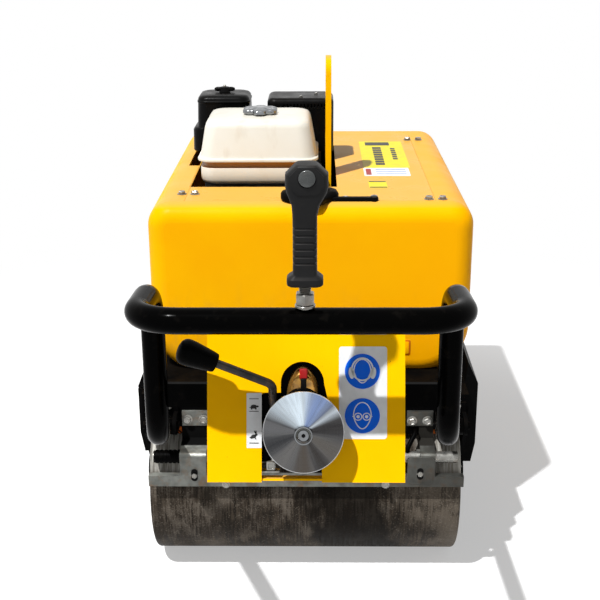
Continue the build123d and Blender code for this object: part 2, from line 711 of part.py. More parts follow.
def control_panel():
    """The folded control panel, leaning away from the operator, with an arched lever slot."""
    panel = block((-PANEL_HALF, PANEL_HALF), (0, PANEL_FLANGE), (PANEL_LOW + BOTTOM_FOLD, PANEL_HIGH))
    inner = PANEL_HALF - PANEL_SHEET
    inside_z = (PANEL_LOW + BOTTOM_FOLD + PANEL_SHEET, PANEL_HIGH - PANEL_SHEET)
    panel -= block((-inner, inner), (PANEL_SHEET, PANEL_FLANGE), inside_z)
    panel += block((-PANEL_HALF, PANEL_HALF), (0, PANEL_SHEET), (PANEL_LOW, PANEL_LOW + PANEL_SHEET))
    return on_panel(panel - panel_cut())


BOX_UP = (-88.0, 80.0)
BOX_LUG_X = 80.0
BOX_LUG_HALF = 16.0
BOX_LUG_UP = (-20.0, 8.0)


def control_box():
    """The closed valve box behind the panel, with two lugs against the tiller's tie plate."""
    box = block((-PANEL_HALF, PANEL_HALF), (PANEL_FLANGE, BOX_BACK), BOX_UP)
    for x_mid in (-BOX_LUG_X, BOX_LUG_X):
        box += block((x_mid - BOX_LUG_HALF, x_mid + BOX_LUG_HALF), (BOX_BACK, 2 * BOX_BACK), BOX_LUG_UP)
    beyond = (LEG_Y - TIE_THICK / 2, LEG_Y + 2 * BOX_BACK)
    return on_panel(box) - block((-PANEL_HALF, 2 * PANEL_HALF), beyond, (0, LEG_TOP_Z))


DISC_RADIUS = 55.4
DISC_UP = -37.4
DISC_X = -3.2
DISC_Y = (-40.0, -30.0)
SCREW_DROP = 4.6
SCREW_RADIUS = 11.5
SCREW_DEPTH = 6.0
DISC_STEM_RADIUS = 14.0


def stop_disc():
    """The turned push disc that stops the machine if it is pushed against something."""
    disc = rod_y(DISC_RADIUS, DISC_X, DISC_Y, DISC_UP)
    disc -= rod_y(SCREW_RADIUS, DISC_X, (DISC_Y[0], DISC_Y[0] + SCREW_DEPTH), DISC_UP - SCREW_DROP)
    disc += rod_y(DISC_STEM_RADIUS, DISC_X, (DISC_Y[1], PANEL_FLANGE), DISC_UP)
    return on_panel(disc)


LEVER_RADIUS = 6.0
LEVER_FOOT = (-45.5, 26.0, -40.0)
LEVER_BEND = (-45.8, -22.0, 26.2)
LEVER_TIP = (-121.0, -42.0, 56.5)
LEVER_BEND_RADIUS = 13.0


def travel_lever():
    """The bent travel lever with its tapered knob."""
    path = FilletPolyline(LEVER_FOOT, LEVER_BEND, LEVER_TIP, radius=LEVER_BEND_RADIUS)
    rod = sweep(Plane(origin=path @ 0, z_dir=path % 0) * Circle(LEVER_RADIUS), path=path)
    return on_panel(rod)


KNOB_LENGTH = 53.0
KNOB_RADII = (13.0, 18.2)
KNOB_ROUND = 5.0


def lever_knob():
    """The tapered lever knob."""
    along = (Vector(*LEVER_TIP) - Vector(*LEVER_BEND)).normalized()
    knob = Pos(0, 0, KNOB_LENGTH / 2) * Cone(KNOB_RADII[0], KNOB_RADII[1], KNOB_LENGTH)
    knob = fillet(knob.faces().sort_by(Axis.Z)[-1].edges(), KNOB_ROUND)
    return on_panel(Plane(origin=LEVER_TIP, z_dir=along) * knob)


GRIP_X = 4.0
GRIP_HEAD_X = 6.5
GRIP_BODY = (31.0, 28.0)
GRIP_BODY_ROUND = 9.0
GRIP_FLANGE = (46.0, 32.0)
GRIP_FLANGE_ROUND = 14.0
GRIP_FOOT_Z = CROSSBAR_Z + TUBE_RADIUS
GRIP_FLANGE_Z = (903.5, 916.0)
GRIP_HEAD_Z = (1006.0, 1059.0)
GRIP_HEAD_HALF = 26.5
GRIP_HEAD_Y = (-18.0, 17.0)
GRIP_HEAD_CUT = 13.0
BUTTON_RADIUS = 11.0
BUTTON_Z = 1044.0


def grip():
    """The upright grip: a flange, an oblong handle and an eight-sided head with its button."""
    handle = Pos(GRIP_X, CROSSBAR_Y, GRIP_FLANGE_Z[1]) * RectangleRounded(*GRIP_BODY, GRIP_BODY_ROUND)
    flange = Pos(GRIP_X, CROSSBAR_Y, GRIP_FLANGE_Z[0]) * RectangleRounded(*GRIP_FLANGE, GRIP_FLANGE_ROUND)
    body = extrude(handle, amount=GRIP_HEAD_Z[0] - GRIP_FLANGE_Z[1])
    body += extrude(flange, amount=GRIP_FLANGE_Z[1] - GRIP_FLANGE_Z[0])
    x = (GRIP_HEAD_X - GRIP_HEAD_HALF, GRIP_HEAD_X + GRIP_HEAD_HALF)
    y = (CROSSBAR_Y + GRIP_HEAD_Y[0], CROSSBAR_Y + GRIP_HEAD_Y[1])
    head = block(x, y, GRIP_HEAD_Z)
    body += chamfer(head.edges().filter_by(Axis.Y), GRIP_HEAD_CUT)
    return body + rod_y(BUTTON_RADIUS, GRIP_HEAD_X, (CROSSBAR_Y - BUTTON_REACH, CROSSBAR_Y), BUTTON_Z)


STUD_RADIUS = 8.0
NUT_RADIUS = 13.0
NUT_HEIGHT = 17.0


def grip_stud():
    """The threaded stud and nut that carry the grip on the crossbar."""
    stud = rod_z(STUD_RADIUS, GRIP_X, CROSSBAR_Y, (GRIP_FOOT_Z, GRIP_FLANGE_Z[0]))
    return stud + rod_z(NUT_RADIUS, GRIP_X, CROSSBAR_Y, (GRIP_FOOT_Z + 2, GRIP_FOOT_Z + 2 + NUT_HEIGHT))


# ---- Files ----------------------------------------------------------------------------------
ENDS = (("front", -1), ("rear", 1))
SIDES = (("left", -1), ("right", 1))

for end_name, end in ENDS:
    save(drum(axle_of(end)), f"{end_name}_drum")
    save(crossmember(end), f"{end_name}_crossmember")
    save(scraper(end), f"{end_name}_scraper")
    save(spray_pipe(end), f"{end_name}_spray_pipe")
    for side_name, side in SIDES:
        save(bearing(side, axle_of(end)), f"{end_name}_{side_name}_bearing")
        save(scraper_bracket(end, side), f"{end_name}_{side_name}_scraper_bracket")

for side_name, side in SIDES:
    save(side_frame(side), f"side_frame_{side_name}")
    save(side_cover(side), f"side_cover_{side_name}")
    save(pivot_bracket(side), f"pivot_bracket_{side_name}")
    save(bolt_plate(side), f"bolt_plate_{side_name}")

save(front_water_hose(), "front_water_hose")
save(deck(), "deck")
save(exciter_housing(), "exciter_housing")
save(hood(), "hood")
save(top_panel(), "top_panel")
save(water_cap(), "water_cap")
save(engine_bed(), "engine_bed")
save(engine_block(), "engine_block")
save(recoil_cover(), "recoil_cover")
save(fuel_tank(), "fuel_tank")
save(fuel_cap(), "fuel_cap")
save(air_cleaner(), "air_cleaner")
save(air_cleaner_knob(), "air_cleaner_knob")
save(muffler_guard(), "muffler_guard")
save(muffler(), "muffler")
save(lifting_bar(), "lifting_bar")
save(handle_loop(), "handle_loop")
save(control_panel(), "control_panel")
save(control_box(), "control_box")
save(stop_disc(), "stop_disc")
save(travel_lever(), "travel_lever")
save(lever_knob(), "lever_knob")
save(grip(), "grip")
save(grip_stud(), "grip_stud")
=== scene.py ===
# %% [markdown]
# # A walk-behind double drum roller
# The machine is built in two steps. Its measured parts come from the construction model, and this
# notebook gives them their finishes and adds what a maker adds last: bolts, labels, caps, moulded
# covers and the marks of a working day. Finishes, lamps and the camera are given in metres, and the
# modelling helpers take millimetres.

# %% load the measured parts
import math

import bmesh
import bpy
from mathutils import Matrix, Vector


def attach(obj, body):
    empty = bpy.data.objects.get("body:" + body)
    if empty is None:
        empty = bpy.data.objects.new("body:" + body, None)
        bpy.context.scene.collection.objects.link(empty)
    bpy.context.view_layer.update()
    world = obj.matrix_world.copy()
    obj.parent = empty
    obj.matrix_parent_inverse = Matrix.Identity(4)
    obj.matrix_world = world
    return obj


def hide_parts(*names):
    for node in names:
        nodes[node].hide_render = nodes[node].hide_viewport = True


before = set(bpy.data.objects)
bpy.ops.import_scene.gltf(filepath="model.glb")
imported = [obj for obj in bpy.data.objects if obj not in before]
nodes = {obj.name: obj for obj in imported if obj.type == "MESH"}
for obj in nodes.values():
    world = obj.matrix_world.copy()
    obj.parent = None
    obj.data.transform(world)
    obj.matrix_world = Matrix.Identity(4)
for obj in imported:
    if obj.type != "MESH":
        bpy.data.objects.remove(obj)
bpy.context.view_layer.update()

print("parts loaded:", len(nodes))

# %% [markdown]
# ## Where the picture is taken from
# The operator's view: the camera stands behind the handlebar, a little above it, and looks
# slightly down. A fairly long lens keeps the drum and the hood in their real proportions.

# %% camera
CAMERA_PLACE = Vector((0.0177, -2.1555, 1.3461))
PITCH_DOWN = math.radians(19.40)
YAW_LEFT = math.radians(0.88)
ROLL = math.radians(-0.29)


def camera_matrix(place, pitch, yaw, roll):
    """Builds the camera's place and turn from three plain angles."""
    level = math.cos(pitch)
    ahead = Vector((-math.sin(yaw) * level, math.cos(yaw) * level, -math.sin(pitch)))
    right = Vector((math.cos(yaw), math.sin(yaw), 0))
    down = ahead.cross(right)
    tilted_right = right * math.cos(roll) - down * math.sin(roll)
    tilted_down = right * math.sin(roll) + down * math.cos(roll)
    axes = Matrix((tilted_right, -tilted_down, -ahead)).transposed().to_4x4()
    return Matrix.Translation(place) @ axes


lens = bpy.data.cameras.new("operator_view")
lens.lens = 66
lens.sensor_width = 36
camera = bpy.data.objects.new("operator_view", lens)
bpy.context.scene.collection.objects.link(camera)
camera.matrix_world = camera_matrix(CAMERA_PLACE, PITCH_DOWN, YAW_LEFT, ROLL)
bpy.context.scene.camera = camera
print("camera at", tuple(round(v, 3) for v in CAMERA_PLACE))

# %% [markdown]
# ## Light
# One lamp far up on the left plays a high sun. It is small for its distance, so the lifting bar and
# the crossbar throw shadows with clear edges. A wide lamp behind the operator and a dim world
# light the shaded sides. A lamp's power for a plain exposure grows with the square of its distance.

# %% lamps
scene = bpy.context.scene
scene.view_settings.view_transform = "Standard"


def area_lamp(name, aim, direction, distance, size, level):
    """A square lamp at a distance from its aim; at level 1 it lights a white card to white."""
    data = bpy.data.lights.new(name, "AREA")
    data.shape = "SQUARE"
    data.size = size
    data.energy = level * (math.pi * distance) ** 2
    lamp = bpy.data.objects.new(name, data)
    scene.collection.objects.link(lamp)
    away = Vector(direction).normalized()
    turn = (-away).to_track_quat("-Z", "Y").to_matrix().to_4x4()
    lamp.matrix_world = Matrix.Translation(Vector(aim) + away * distance) @ turn
    return lamp


area_lamp("high_sun", (0, -0.2, 0.6), (-0.37, -0.43, 1.0), 40.0, 0.8, 1.5)
area_lamp("operator_side", (0, 0, 0.5), (0.0, -1.0, 0.25), 7.0, 9.0, 0.03)

# %% [markdown]
# The world is dim for lighting, but the camera, mirrors and glass see plain white.

# %% world
world = bpy.data.worlds.new("studio")
scene.world = world
world.use_nodes = True
sky_tree = world.node_tree
sky_tree.nodes.clear()


def sees_background(tree):
    """One where a ray comes from the camera, a reflection or glass, and nought elsewhere."""
    ray = tree.nodes.new("ShaderNodeLightPath")
    first = tree.nodes.new("ShaderNodeMath")
    first.operation = "MAXIMUM"
    second = tree.nodes.new("ShaderNodeMath")
    second.operation = "MAXIMUM"
    tree.links.new(ray.outputs["Is Camera Ray"], first.inputs[0])
    tree.links.new(ray.outputs["Is Glossy Ray"], first.inputs[1])
    tree.links.new(first.outputs[0], second.inputs[0])
    tree.links.new(ray.outputs["Is Transmission Ray"], second.inputs[1])
    return second.outputs[0]


def background(strength):
    """A white world shader of one strength."""
    shader = sky_tree.nodes.new("ShaderNodeBackground")
    shader.inputs["Color"].default_value = (1, 1, 1, 1)
    shader.inputs["Strength"].default_value = strength
    return shader


sky_mix = sky_tree.nodes.new("ShaderNodeMixShader")
sky_out = sky_tree.nodes.new("ShaderNodeOutputWorld")
sky_tree.links.new(sees_background(sky_tree), sky_mix.inputs["Fac"])
sky_tree.links.new(background(0.20).outputs[0], sky_mix.inputs[1])
sky_tree.links.new(background(1.0).outputs[0], sky_mix.inputs[2])
sky_tree.links.new(sky_mix.outputs[0], sky_out.inputs["Surface"])
print("world ready")

# %% [markdown]
# ## Floor
# A sheet that takes the machine's shadow. Near the machine it is lit like paper; further out it
# glows plain white for the camera, so the sheet has no visible end. For bounced light it is grey,
# or it would light the machine's dark underside.

# %% floor
bpy.ops.object.select_all(action="DESELECT")
bpy.ops.mesh.primitive_plane_add(size=60, location=(0, 0, 0))
floor = bpy.context.object
floor.name = "floor"
paper = bpy.data.materials.new("floor_paper")
paper.use_nodes = True
paper_tree = paper.node_tree
paper_tree.nodes.clear()


def paper_shader(kind, value, strength=None):
    """A diffuse or an emission shader in one grey."""
    shader = paper_tree.nodes.new(kind)
    shader.inputs["Color"].default_value = (value, value, value, 1)
    if strength is not None:
        shader.inputs["Strength"].default_value = strength
    return shader.outputs[0]


def paper_mix(amount, first, second):
    """Two floor shaders mixed by a socket."""
    mix = paper_tree.nodes.new("ShaderNodeMixShader")
    paper_tree.links.new(amount, mix.inputs["Fac"])
    paper_tree.links.new(first, mix.inputs[1])
    paper_tree.links.new(second, mix.inputs[2])
    return mix.outputs[0]


spot = paper_tree.nodes.new("ShaderNodeTexCoord")
reach = paper_tree.nodes.new("ShaderNodeVectorMath")
reach.operation = "LENGTH"
fade = paper_tree.nodes.new("ShaderNodeMapRange")
fade.interpolation_type = "SMOOTHSTEP"
fade.inputs["From Min"].default_value = 0.9
fade.inputs["From Max"].default_value = 2.4
lit = paper_tree.nodes.new("ShaderNodeAddShader")
paper_out = paper_tree.nodes.new("ShaderNodeOutputMaterial")
paper_tree.links.new(spot.outputs["Object"], reach.inputs[0])
paper_tree.links.new(reach.outputs["Value"], fade.inputs["Value"])
paper_tree.links.new(paper_shader("ShaderNodeBsdfDiffuse", 0.62), lit.inputs[0])
paper_tree.links.new(paper_shader("ShaderNodeEmission", 1.0, 0.42), lit.inputs[1])
shown = paper_mix(fade.outputs["Result"], lit.outputs[0], paper_shader("ShaderNodeEmission", 1.0, 1.0))
whole = paper_mix(sees_background(paper_tree), paper_shader("ShaderNodeBsdfDiffuse", 0.52), shown)
paper_tree.links.new(whole, paper_out.inputs["Surface"])
floor.data.materials.append(paper)
print("floor laid")

# %% [markdown]
# # Finishes
# Every finish is a principled shader with its own texture nodes. The patterns read the object's own
# coordinates, so they stay on the part when it moves. A few small helpers add one node each.

# %% screen colours
def paint(red, green, blue):
    """A colour as seen on a screen, 0 to 255, turned into the shader's linear values."""
    shares = (red / 255, green / 255, blue / 255)
    return tuple(((v + 0.055) / 1.055) ** 2.4 if v > 0.04 else v / 12.92 for v in shares)


print("screen colours ready")

# %% [markdown]
# A finish is built up in four layers, each a class that adds to the one before: the plain shader,
# sums on patterns, the patterns themselves, and last the mixing of colours and the fine bumps.

# %% the plain shader
class PlainFinish:
    """One material in the making: its node tree and its principled shader."""

    def __init__(self, name, colour, roughness, metallic=0.0, specular=0.5):
        self.material = bpy.data.materials.new(name)
        self.material.use_nodes = True
        self.tree = self.material.node_tree
        self.shader = self.tree.nodes["Principled BSDF"]
        self.set("Base Color", (*colour, 1))
        self.set("Roughness", roughness)
        self.set("Metallic", metallic)
        self.set("Specular IOR Level", specular)

    def set(self, socket, value):
        """Gives one shader socket a plain value."""
        self.shader.inputs[socket].default_value = value

    def feed(self, socket, source):
        """Links a pattern to one shader socket."""
        self.tree.links.new(source, self.shader.inputs[socket])

    def colour(self):
        """The colour that the shader has so far, to be worked over."""
        return self.shader.inputs["Base Color"].links[0].from_socket


print("plain shader ready")

# %% [markdown]
# Sums on patterns set where a stain begins and ends, and join several stains into one.

# %% sums on patterns
class SummedFinish(PlainFinish):
    """Adds the sums that rescale and join patterns."""

    def span(self, source, low, high, start=0.0, end=1.0):
        """Rescales a pattern, held inside its limits."""
        node = self.tree.nodes.new("ShaderNodeMapRange")
        values = {"From Min": low, "From Max": high, "To Min": start, "To Max": end}
        for socket, value in values.items():
            node.inputs[socket].default_value = value
        self.tree.links.new(source, node.inputs["Value"])
        return node.outputs["Result"]

    def calc(self, operation, first, second=0.0):
        """One sum on two patterns or numbers; a few kinds of sum read the first only."""
        node = self.tree.nodes.new("ShaderNodeMath")
        node.operation = operation
        for k, value in enumerate((first, second)):
            if isinstance(value, (int, float)):
                node.inputs[k].default_value = value
            else:
                self.tree.links.new(value, node.inputs[k])
        return node.outputs[0]


print("sums on patterns ready")

# %% [markdown]
# The patterns all start from the object's own coordinates: clouds, one coordinate, the way the
# surface faces, and a soft spot round a point.

# %% patterns
class PatternedFinish(SummedFinish):
    """Adds the patterns that wear and dirt are made of."""

    def place(self, stretch=(1, 1, 1), shift=(0, 0, 0)):
        """The object's own coordinates, moved and stretched."""
        where = self.tree.nodes.new("ShaderNodeTexCoord")
        mapping = self.tree.nodes.new("ShaderNodeMapping")
        mapping.inputs["Scale"].default_value = stretch
        mapping.inputs["Location"].default_value = shift
        self.tree.links.new(where.outputs["Object"], mapping.inputs["Vector"])
        return mapping.outputs["Vector"]

    def noise(self, scale, detail=4.0, stretch=(1, 1, 1), shift=(0, 0, 0)):
        """Cloudy noise from 0 to 1."""
        node = self.tree.nodes.new("ShaderNodeTexNoise")
        node.inputs["Scale"].default_value = scale
        node.inputs["Detail"].default_value = detail
        self.tree.links.new(self.place(stretch, shift), node.inputs["Vector"])
        return node.outputs["Fac"]

    def axis(self, letter):
        """One coordinate of the object, in metres."""
        node = self.tree.nodes.new("ShaderNodeSeparateXYZ")
        self.tree.links.new(self.place(), node.inputs[0])
        return node.outputs[letter]

    def facing(self, letter):
        """How far the surface faces along one axis, from -1 to 1."""
        normal = self.tree.nodes.new("ShaderNodeTexCoord")
        node = self.tree.nodes.new("ShaderNodeSeparateXYZ")
        self.tree.links.new(normal.outputs["Normal"], node.inputs[0])
        return node.outputs[letter]

    def near(self, centre, radius, soft):
        """One round a point, fading to nought at the radius."""
        node = self.tree.nodes.new("ShaderNodeVectorMath")
        node.operation = "DISTANCE"
        node.inputs[1].default_value = centre
        self.tree.links.new(self.place(), node.inputs[0])
        return self.span(node.outputs["Value"], radius - soft, radius, 1.0, 0.0)


print("patterns ready")

# %% [markdown]
# Two colours are mixed by a pattern, and the same kind of pattern can lift the surface a little.

# %% colours and bumps
class Finish(PatternedFinish):
    """The whole finish, with mixed colours and fine bumps."""

    def mix(self, amount, first, second):
        """Mixes two colours, each a plain colour or a pattern's colour."""
        node = self.tree.nodes.new("ShaderNodeMix")
        node.data_type = "RGBA"
        self.tree.links.new(amount, node.inputs[0])
        for k, value in ((6, first), (7, second)):
            if isinstance(value, tuple):
                node.inputs[k].default_value = (*value, 1)
            else:
                self.tree.links.new(value, node.inputs[k])
        return node.outputs[2]

    def relief(self, height, strength, distance=0.001):
        """Fine bumps from a pattern."""
        node = self.tree.nodes.new("ShaderNodeBump")
        node.inputs["Strength"].default_value = strength
        node.inputs["Distance"].default_value = distance
        self.tree.links.new(height, node.inputs["Height"])
        self.feed("Normal", node.outputs["Normal"])


print("colours and bumps ready")

# %% [markdown]
# A measured part already has slots for its material, so the finish is put in every one of them.

# %% finish for measured parts
def dress(finish, *names):
    """Gives measured parts their finish."""
    for name in names:
        for slot in nodes[name].material_slots:
            slot.material = finish.material
    print(finish.material.name, "on", len(names), "parts")


print("measured parts can be dressed")

# %% [markdown]
# ## Yellow hood and sheet metal
# The hood is a rotationally moulded shell: a warm yellow with a soft gloss, slightly uneven, with
# road dust in the lower edge. The bolted sheets are painted steel in a paler yellow, a little
# harder in gloss, with small chips down to dark primer. What faces up is painted paler, a painted
# reflection of the bright sky. The hood's yellow deepens to the right and lower down, and its
# inside is painted nearly black, a painted shade for the inside of the closed shell.

# %% yellow finishes
HOOD_YELLOW = (1.0, 0.485, 0.0)
SHEET_YELLOW = (1.0, 0.545, 0.0)
SKY_SHEEN_YELLOW = (0.78, 0.41, 0.065)
DEEP_YELLOW = (1.0, 0.43, 0.0)
UNLIT = (0.004, 0.004, 0.004)
ROAD_DUST = paint(150, 120, 80)


def yellow_finish(name, colour, roughness, gloss_patch, chips):
    """Yellow with cloudy colour, uneven gloss, faint dust low down and, on steel, small chips."""
    finish = Finish(name, colour, roughness, specular=0.035)
    deeper = tuple(v * k for v, k in zip(colour, (0.97, 0.88, 1.0)))
    cloud = finish.span(finish.noise(5.0, 5.0), 0.35, 0.70)
    tone = finish.mix(cloud, colour, deeper)
    grime = finish.noise(38.0, 8.0, stretch=(1, 1, 0.35))
    low = finish.span(finish.axis("Z"), 0.40, 0.62, 0.45, 0.0)
    tone = finish.mix(finish.calc("MULTIPLY", finish.span(grime, 0.50, 0.78), low), tone, ROAD_DUST)
    if chips:
        chipped = finish.span(finish.noise(160.0, 2.0), 0.775, 0.79)
        tone = finish.mix(chipped, tone, paint(70, 52, 34))
    # Painted reflection: faces that look up are mixed towards a paler yellow for the bright sky mirrored on
    # top.
    tone = finish.mix(finish.span(finish.facing("Z"), 0.74, 0.95), tone, SKY_SHEEN_YELLOW)
    finish.feed("Base Color", tone)
    smoother, rougher = roughness - gloss_patch, roughness + gloss_patch
    finish.feed("Roughness", finish.span(finish.noise(14.0, 6.0), 0.3, 0.7, smoother, rougher))
    finish.relief(finish.noise(420.0, 2.0), 0.08, 0.0006)
    return finish




def inside_box(finish, low, high, soft=0.001):
    """One for the faces inside a box, which is given by two corners in metres."""
    amount = 1.0
    for letter, start, end in zip("XYZ", low, high):
        place = finish.axis(letter)
        amount = finish.calc("MULTIPLY", amount, finish.span(place, start, start + soft))
        amount = finish.calc("MULTIPLY", amount, finish.span(place, end - soft, end, 1.0, 0.0))
    return amount


hood_finish = yellow_finish("hood_yellow", HOOD_YELLOW, 0.36, 0.08, False)
leaning = hood_finish.calc("MULTIPLY", hood_finish.axis("Z"), 1.3)
slant = hood_finish.calc("SUBTRACT", hood_finish.axis("X"), leaning)
deep = hood_finish.mix(hood_finish.span(slant, -0.95, -0.25), hood_finish.colour(), DEEP_YELLOW)
# Painted shade: the faces inside the hood are mixed to near black for the dark inside of the closed shell.
walls = inside_box(hood_finish, (-0.284, 0.050, 0.53), (0.296, 0.859, 0.73))
roof = inside_box(hood_finish, (-0.284, 0.090, 0.60), (0.296, 0.820, 0.7735))
inside = hood_finish.calc("MAXIMUM", walls, roof)
hood_finish.feed("Base Color", hood_finish.mix(inside, deep, UNLIT))
sheet_finish = yellow_finish("sheet_yellow", SHEET_YELLOW, 0.30, 0.06, True)
dress(hood_finish, "hood")
dress(sheet_finish, "top_panel", "control_panel", "lifting_bar")

# %% [markdown]
# ## Black finishes
# The tiller is glossy powder coat. The chassis has a duller paint with dust on what faces up and
# rust breaking out beside the front brackets. Covers and engine shrouds are grained plastic.

# %% black finishes
def black_finish(name, value, roughness, specular, grain, dust):
    """Black with a grain, and dust that settles on the faces that look up."""
    finish = Finish(name, (value, value, value * 1.05), roughness, specular=specular)
    settled = finish.span(finish.facing("Z"), 0.2, 0.95, 0.0, dust)
    patchy = finish.span(finish.noise(24.0, 7.0), 0.35, 0.75)
    amount = finish.calc("MULTIPLY", settled, patchy)
    tone = finish.mix(amount, (value, value, value * 1.05), ROAD_DUST)
    spots = finish.span(finish.noise(70.0, 6.0), 0.56, 0.72, 0.0, 0.012)
    finish.feed("Base Color", finish.mix(spots, tone, paint(120, 110, 100)))
    smoother, rougher = roughness * 0.8, roughness * 1.25
    finish.feed("Roughness", finish.span(finish.noise(30.0, 5.0), 0.3, 0.7, smoother, rougher))
    if grain:
        finish.relief(finish.noise(900.0, 2.0), grain, 0.0004)
    return finish


coat_finish = black_finish("black_powder_coat", 0.0006, 0.15, 0.5, 0.0, 0.002)
coat_finish.set("IOR", 1.075)
cover_finish = black_finish("black_cover_plastic", 0.0016, 0.46, 0.03, 0.35, 0.015)
engine_finish = black_finish("black_engine_plastic", 0.0018, 0.32, 0.07, 0.25, 0.012)
rubber_finish = black_finish("black_rubber", 0.0008, 0.40, 0.02, 0.30, 0.002)
grip_finish = black_finish("weathered_grip", 0.007, 0.50, 0.16, 0.45, 0.03)
chassis_finish = black_finish("black_chassis_paint", 0.0014, 0.65, 0.018, 0.15, 0.015)
dress(coat_finish, "handle_loop", "control_box")
dress(cover_finish, "side_cover_left", "side_cover_right")
dress(rubber_finish, "front_water_hose")

# %% rust on the chassis
RUST = paint(190, 96, 36)
RUST_SPOTS = [(0.2491, -0.078, 0.332), (-0.2624, -0.078, 0.3264)]
RUST_SPOTS += [(0.262, -0.078, 0.322), (-0.225, -0.09, 0.31)]


def add_rust(finish, spots, radius):
    """Ragged rust round a few points, over whatever colour the finish has."""
    ragged = finish.span(finish.noise(130.0, 5.0), 0.42, 0.60, -0.5, 0.5)
    bare = finish.colour()
    for spot in spots:
        inside = finish.near(spot, radius, radius * 0.9)
        amount = finish.calc("MULTIPLY", inside, finish.calc("ADD", inside, ragged))
        bare = finish.mix(finish.span(amount, 0.15, 0.45), bare, RUST)
    finish.feed("Base Color", bare)


add_rust(chassis_finish, RUST_SPOTS, 0.014)
chassis_nodes = [n for n in nodes if n.startswith(("side_frame", "pivot")) or n.endswith("_bearing")]
chassis_nodes += ["deck", "exciter_housing", "front_crossmember", "rear_crossmember", "engine_bed"]
dress(chassis_finish, *chassis_nodes)
dress(engine_finish, "muffler_guard")

# %% [markdown]
# ## Bare and plated metal
# Brackets, bolt plates, scrapers and spray pipes are zinc plated and stained by wet stone dust. The
# inner half of each bracket was painted black with the chassis, so its shelf turns black behind.
# Towards the right side, brackets, plates and scrapers are darkened by a painted shadow of the crossbar and
# the tiller leg.

# %% plated metal
def plated_finish(name, colour, roughness, stain, top_highlight=0.0):
    """Plated steel: a clouded grey with brown stains, and a painted highlight on the faces that look up."""
    finish = Finish(name, colour, roughness, metallic=0.75)
    dull = tuple(v * 0.55 for v in colour)
    cloud = finish.noise(45.0, 7.0)
    tone = finish.mix(finish.span(cloud, 0.35, 0.68), colour, dull)
    runs = finish.span(finish.noise(60.0, 8.0, shift=(3, 1, 2)), 0.50, 0.70)
    brown = finish.calc("MULTIPLY", runs, stain)
    stained = finish.mix(brown, tone, paint(112, 84, 58))
    # Painted highlight: faces that look up are mixed towards a bright grey for the sun's glint on the
    # plating.
    bright = tuple(min(0.8, v * 3.2) for v in colour)
    upward = finish.span(finish.facing("Z"), 0.25, 0.8)
    painted_top_highlight = finish.calc("MULTIPLY", upward, finish.span(cloud, 0.30, 0.55, 1.0, 0.45))
    finish.feed("Base Color", finish.mix(finish.calc("MULTIPLY", painted_top_highlight, top_highlight), stained, bright))
    smoother, rougher = roughness - 0.12, roughness + 0.15
    finish.feed("Roughness", finish.span(finish.noise(80.0, 6.0), 0.3, 0.7, smoother, rougher))
    finish.relief(finish.noise(260.0, 6.0), 0.25, 0.0005)
    return finish


MIDDLE_Y = 0.3595
PAINT_EDGE = (0.468, 0.472)
BLACKED = (0.006, 0.006, 0.006)
RIGHT_SIDE_SHADE = (0.030, 0.028, 0.024)
zinc_finish = plated_finish("zinc_plate", (0.165, 0.17, 0.155), 0.42, 0.6, 0.8)
bolt_finish = plated_finish("bright_bolt", (0.34, 0.335, 0.31), 0.30, 0.35)
bracket_finish = plated_finish("zinc_bracket", (0.17, 0.175, 0.16), 0.44, 0.5, 0.9)
from_middle = bracket_finish.calc("SUBTRACT", bracket_finish.axis("Y"), MIDDLE_Y)
painted = bracket_finish.span(bracket_finish.calc("ABSOLUTE", from_middle), *PAINT_EDGE, 1.0, 0.0)
bracket_finish.feed("Base Color", bracket_finish.mix(painted, bracket_finish.colour(), BLACKED))
bare_half = bracket_finish.calc("SUBTRACT", 1.0, painted)
bracket_finish.feed("Metallic", bracket_finish.calc("MULTIPLY", bare_half, 0.75))
bracket_finish.feed("Specular IOR Level", bracket_finish.calc("MULTIPLY", bare_half, 0.5))
# Painted shadow: the right side of brackets, plates and scrapers is mixed towards near black for the shadow
# of the crossbar and tiller leg.
for finish in (bracket_finish, zinc_finish):
    painted_side_shade = finish.span(finish.axis("X"), 0.10, 0.24, 0.0, 0.72)
    finish.feed("Base Color", finish.mix(painted_side_shade, finish.colour(), RIGHT_SIDE_SHADE))
dress(bracket_finish, *[n for n in nodes if n.endswith("scraper_bracket")])
dress(zinc_finish, "front_scraper", "rear_scraper", "bolt_plate_left", "bolt_plate_right")
dress(bolt_finish, "front_spray_pipe", "rear_spray_pipe")

# %% [markdown]
# ## Drum steel
# A drum is plain rolled steel, ground to a dark brown-grey by stone and asphalt. It carries fine
# scores round its girth, pale specks of aggregate dust and broad stains. Stretching the noise
# along the girth gives the scores. A black band with a ragged, slanting edge runs round each drum,
# right of the middle: a painted shadow of the panel and the tiller. A pale patch at both ends of the
# front drum, high on its near side, is painted sunlight, drawn like dried slurry.

# %% drum finish
drum_finish = Finish("drum_steel", (0.07, 0.06, 0.05), 0.55, metallic=0.25)
scores = drum_finish.noise(36.0, 6.0, stretch=(7, 0.5, 0.5))
broad = drum_finish.noise(9.0, 5.0, stretch=(1, 0.4, 0.4))
specks = drum_finish.noise(330.0, 4.0)
blotches = drum_finish.noise(26.0, 9.0, stretch=(1, 0.8, 0.8), shift=(2, 5, 1))
ragged_scores = drum_finish.span(scores, 0.30, 0.70, -0.10, 0.10)
ragged_specks = drum_finish.span(specks, 0.30, 0.70, -0.07, 0.07)
blotches = drum_finish.calc("ADD", blotches, drum_finish.calc("ADD", ragged_scores, ragged_specks))
patches = drum_finish.noise(5.5, 6.0, stretch=(1, 0.7, 0.7), shift=(0.3, 0.1, 0.2))
steel = drum_finish.mix(drum_finish.span(scores, 0.32, 0.68), (0.016, 0.012, 0.009), (0.072, 0.057, 0.043))
steel = drum_finish.mix(drum_finish.span(broad, 0.35, 0.70, 0.0, 0.60), steel, (0.022, 0.017, 0.012))
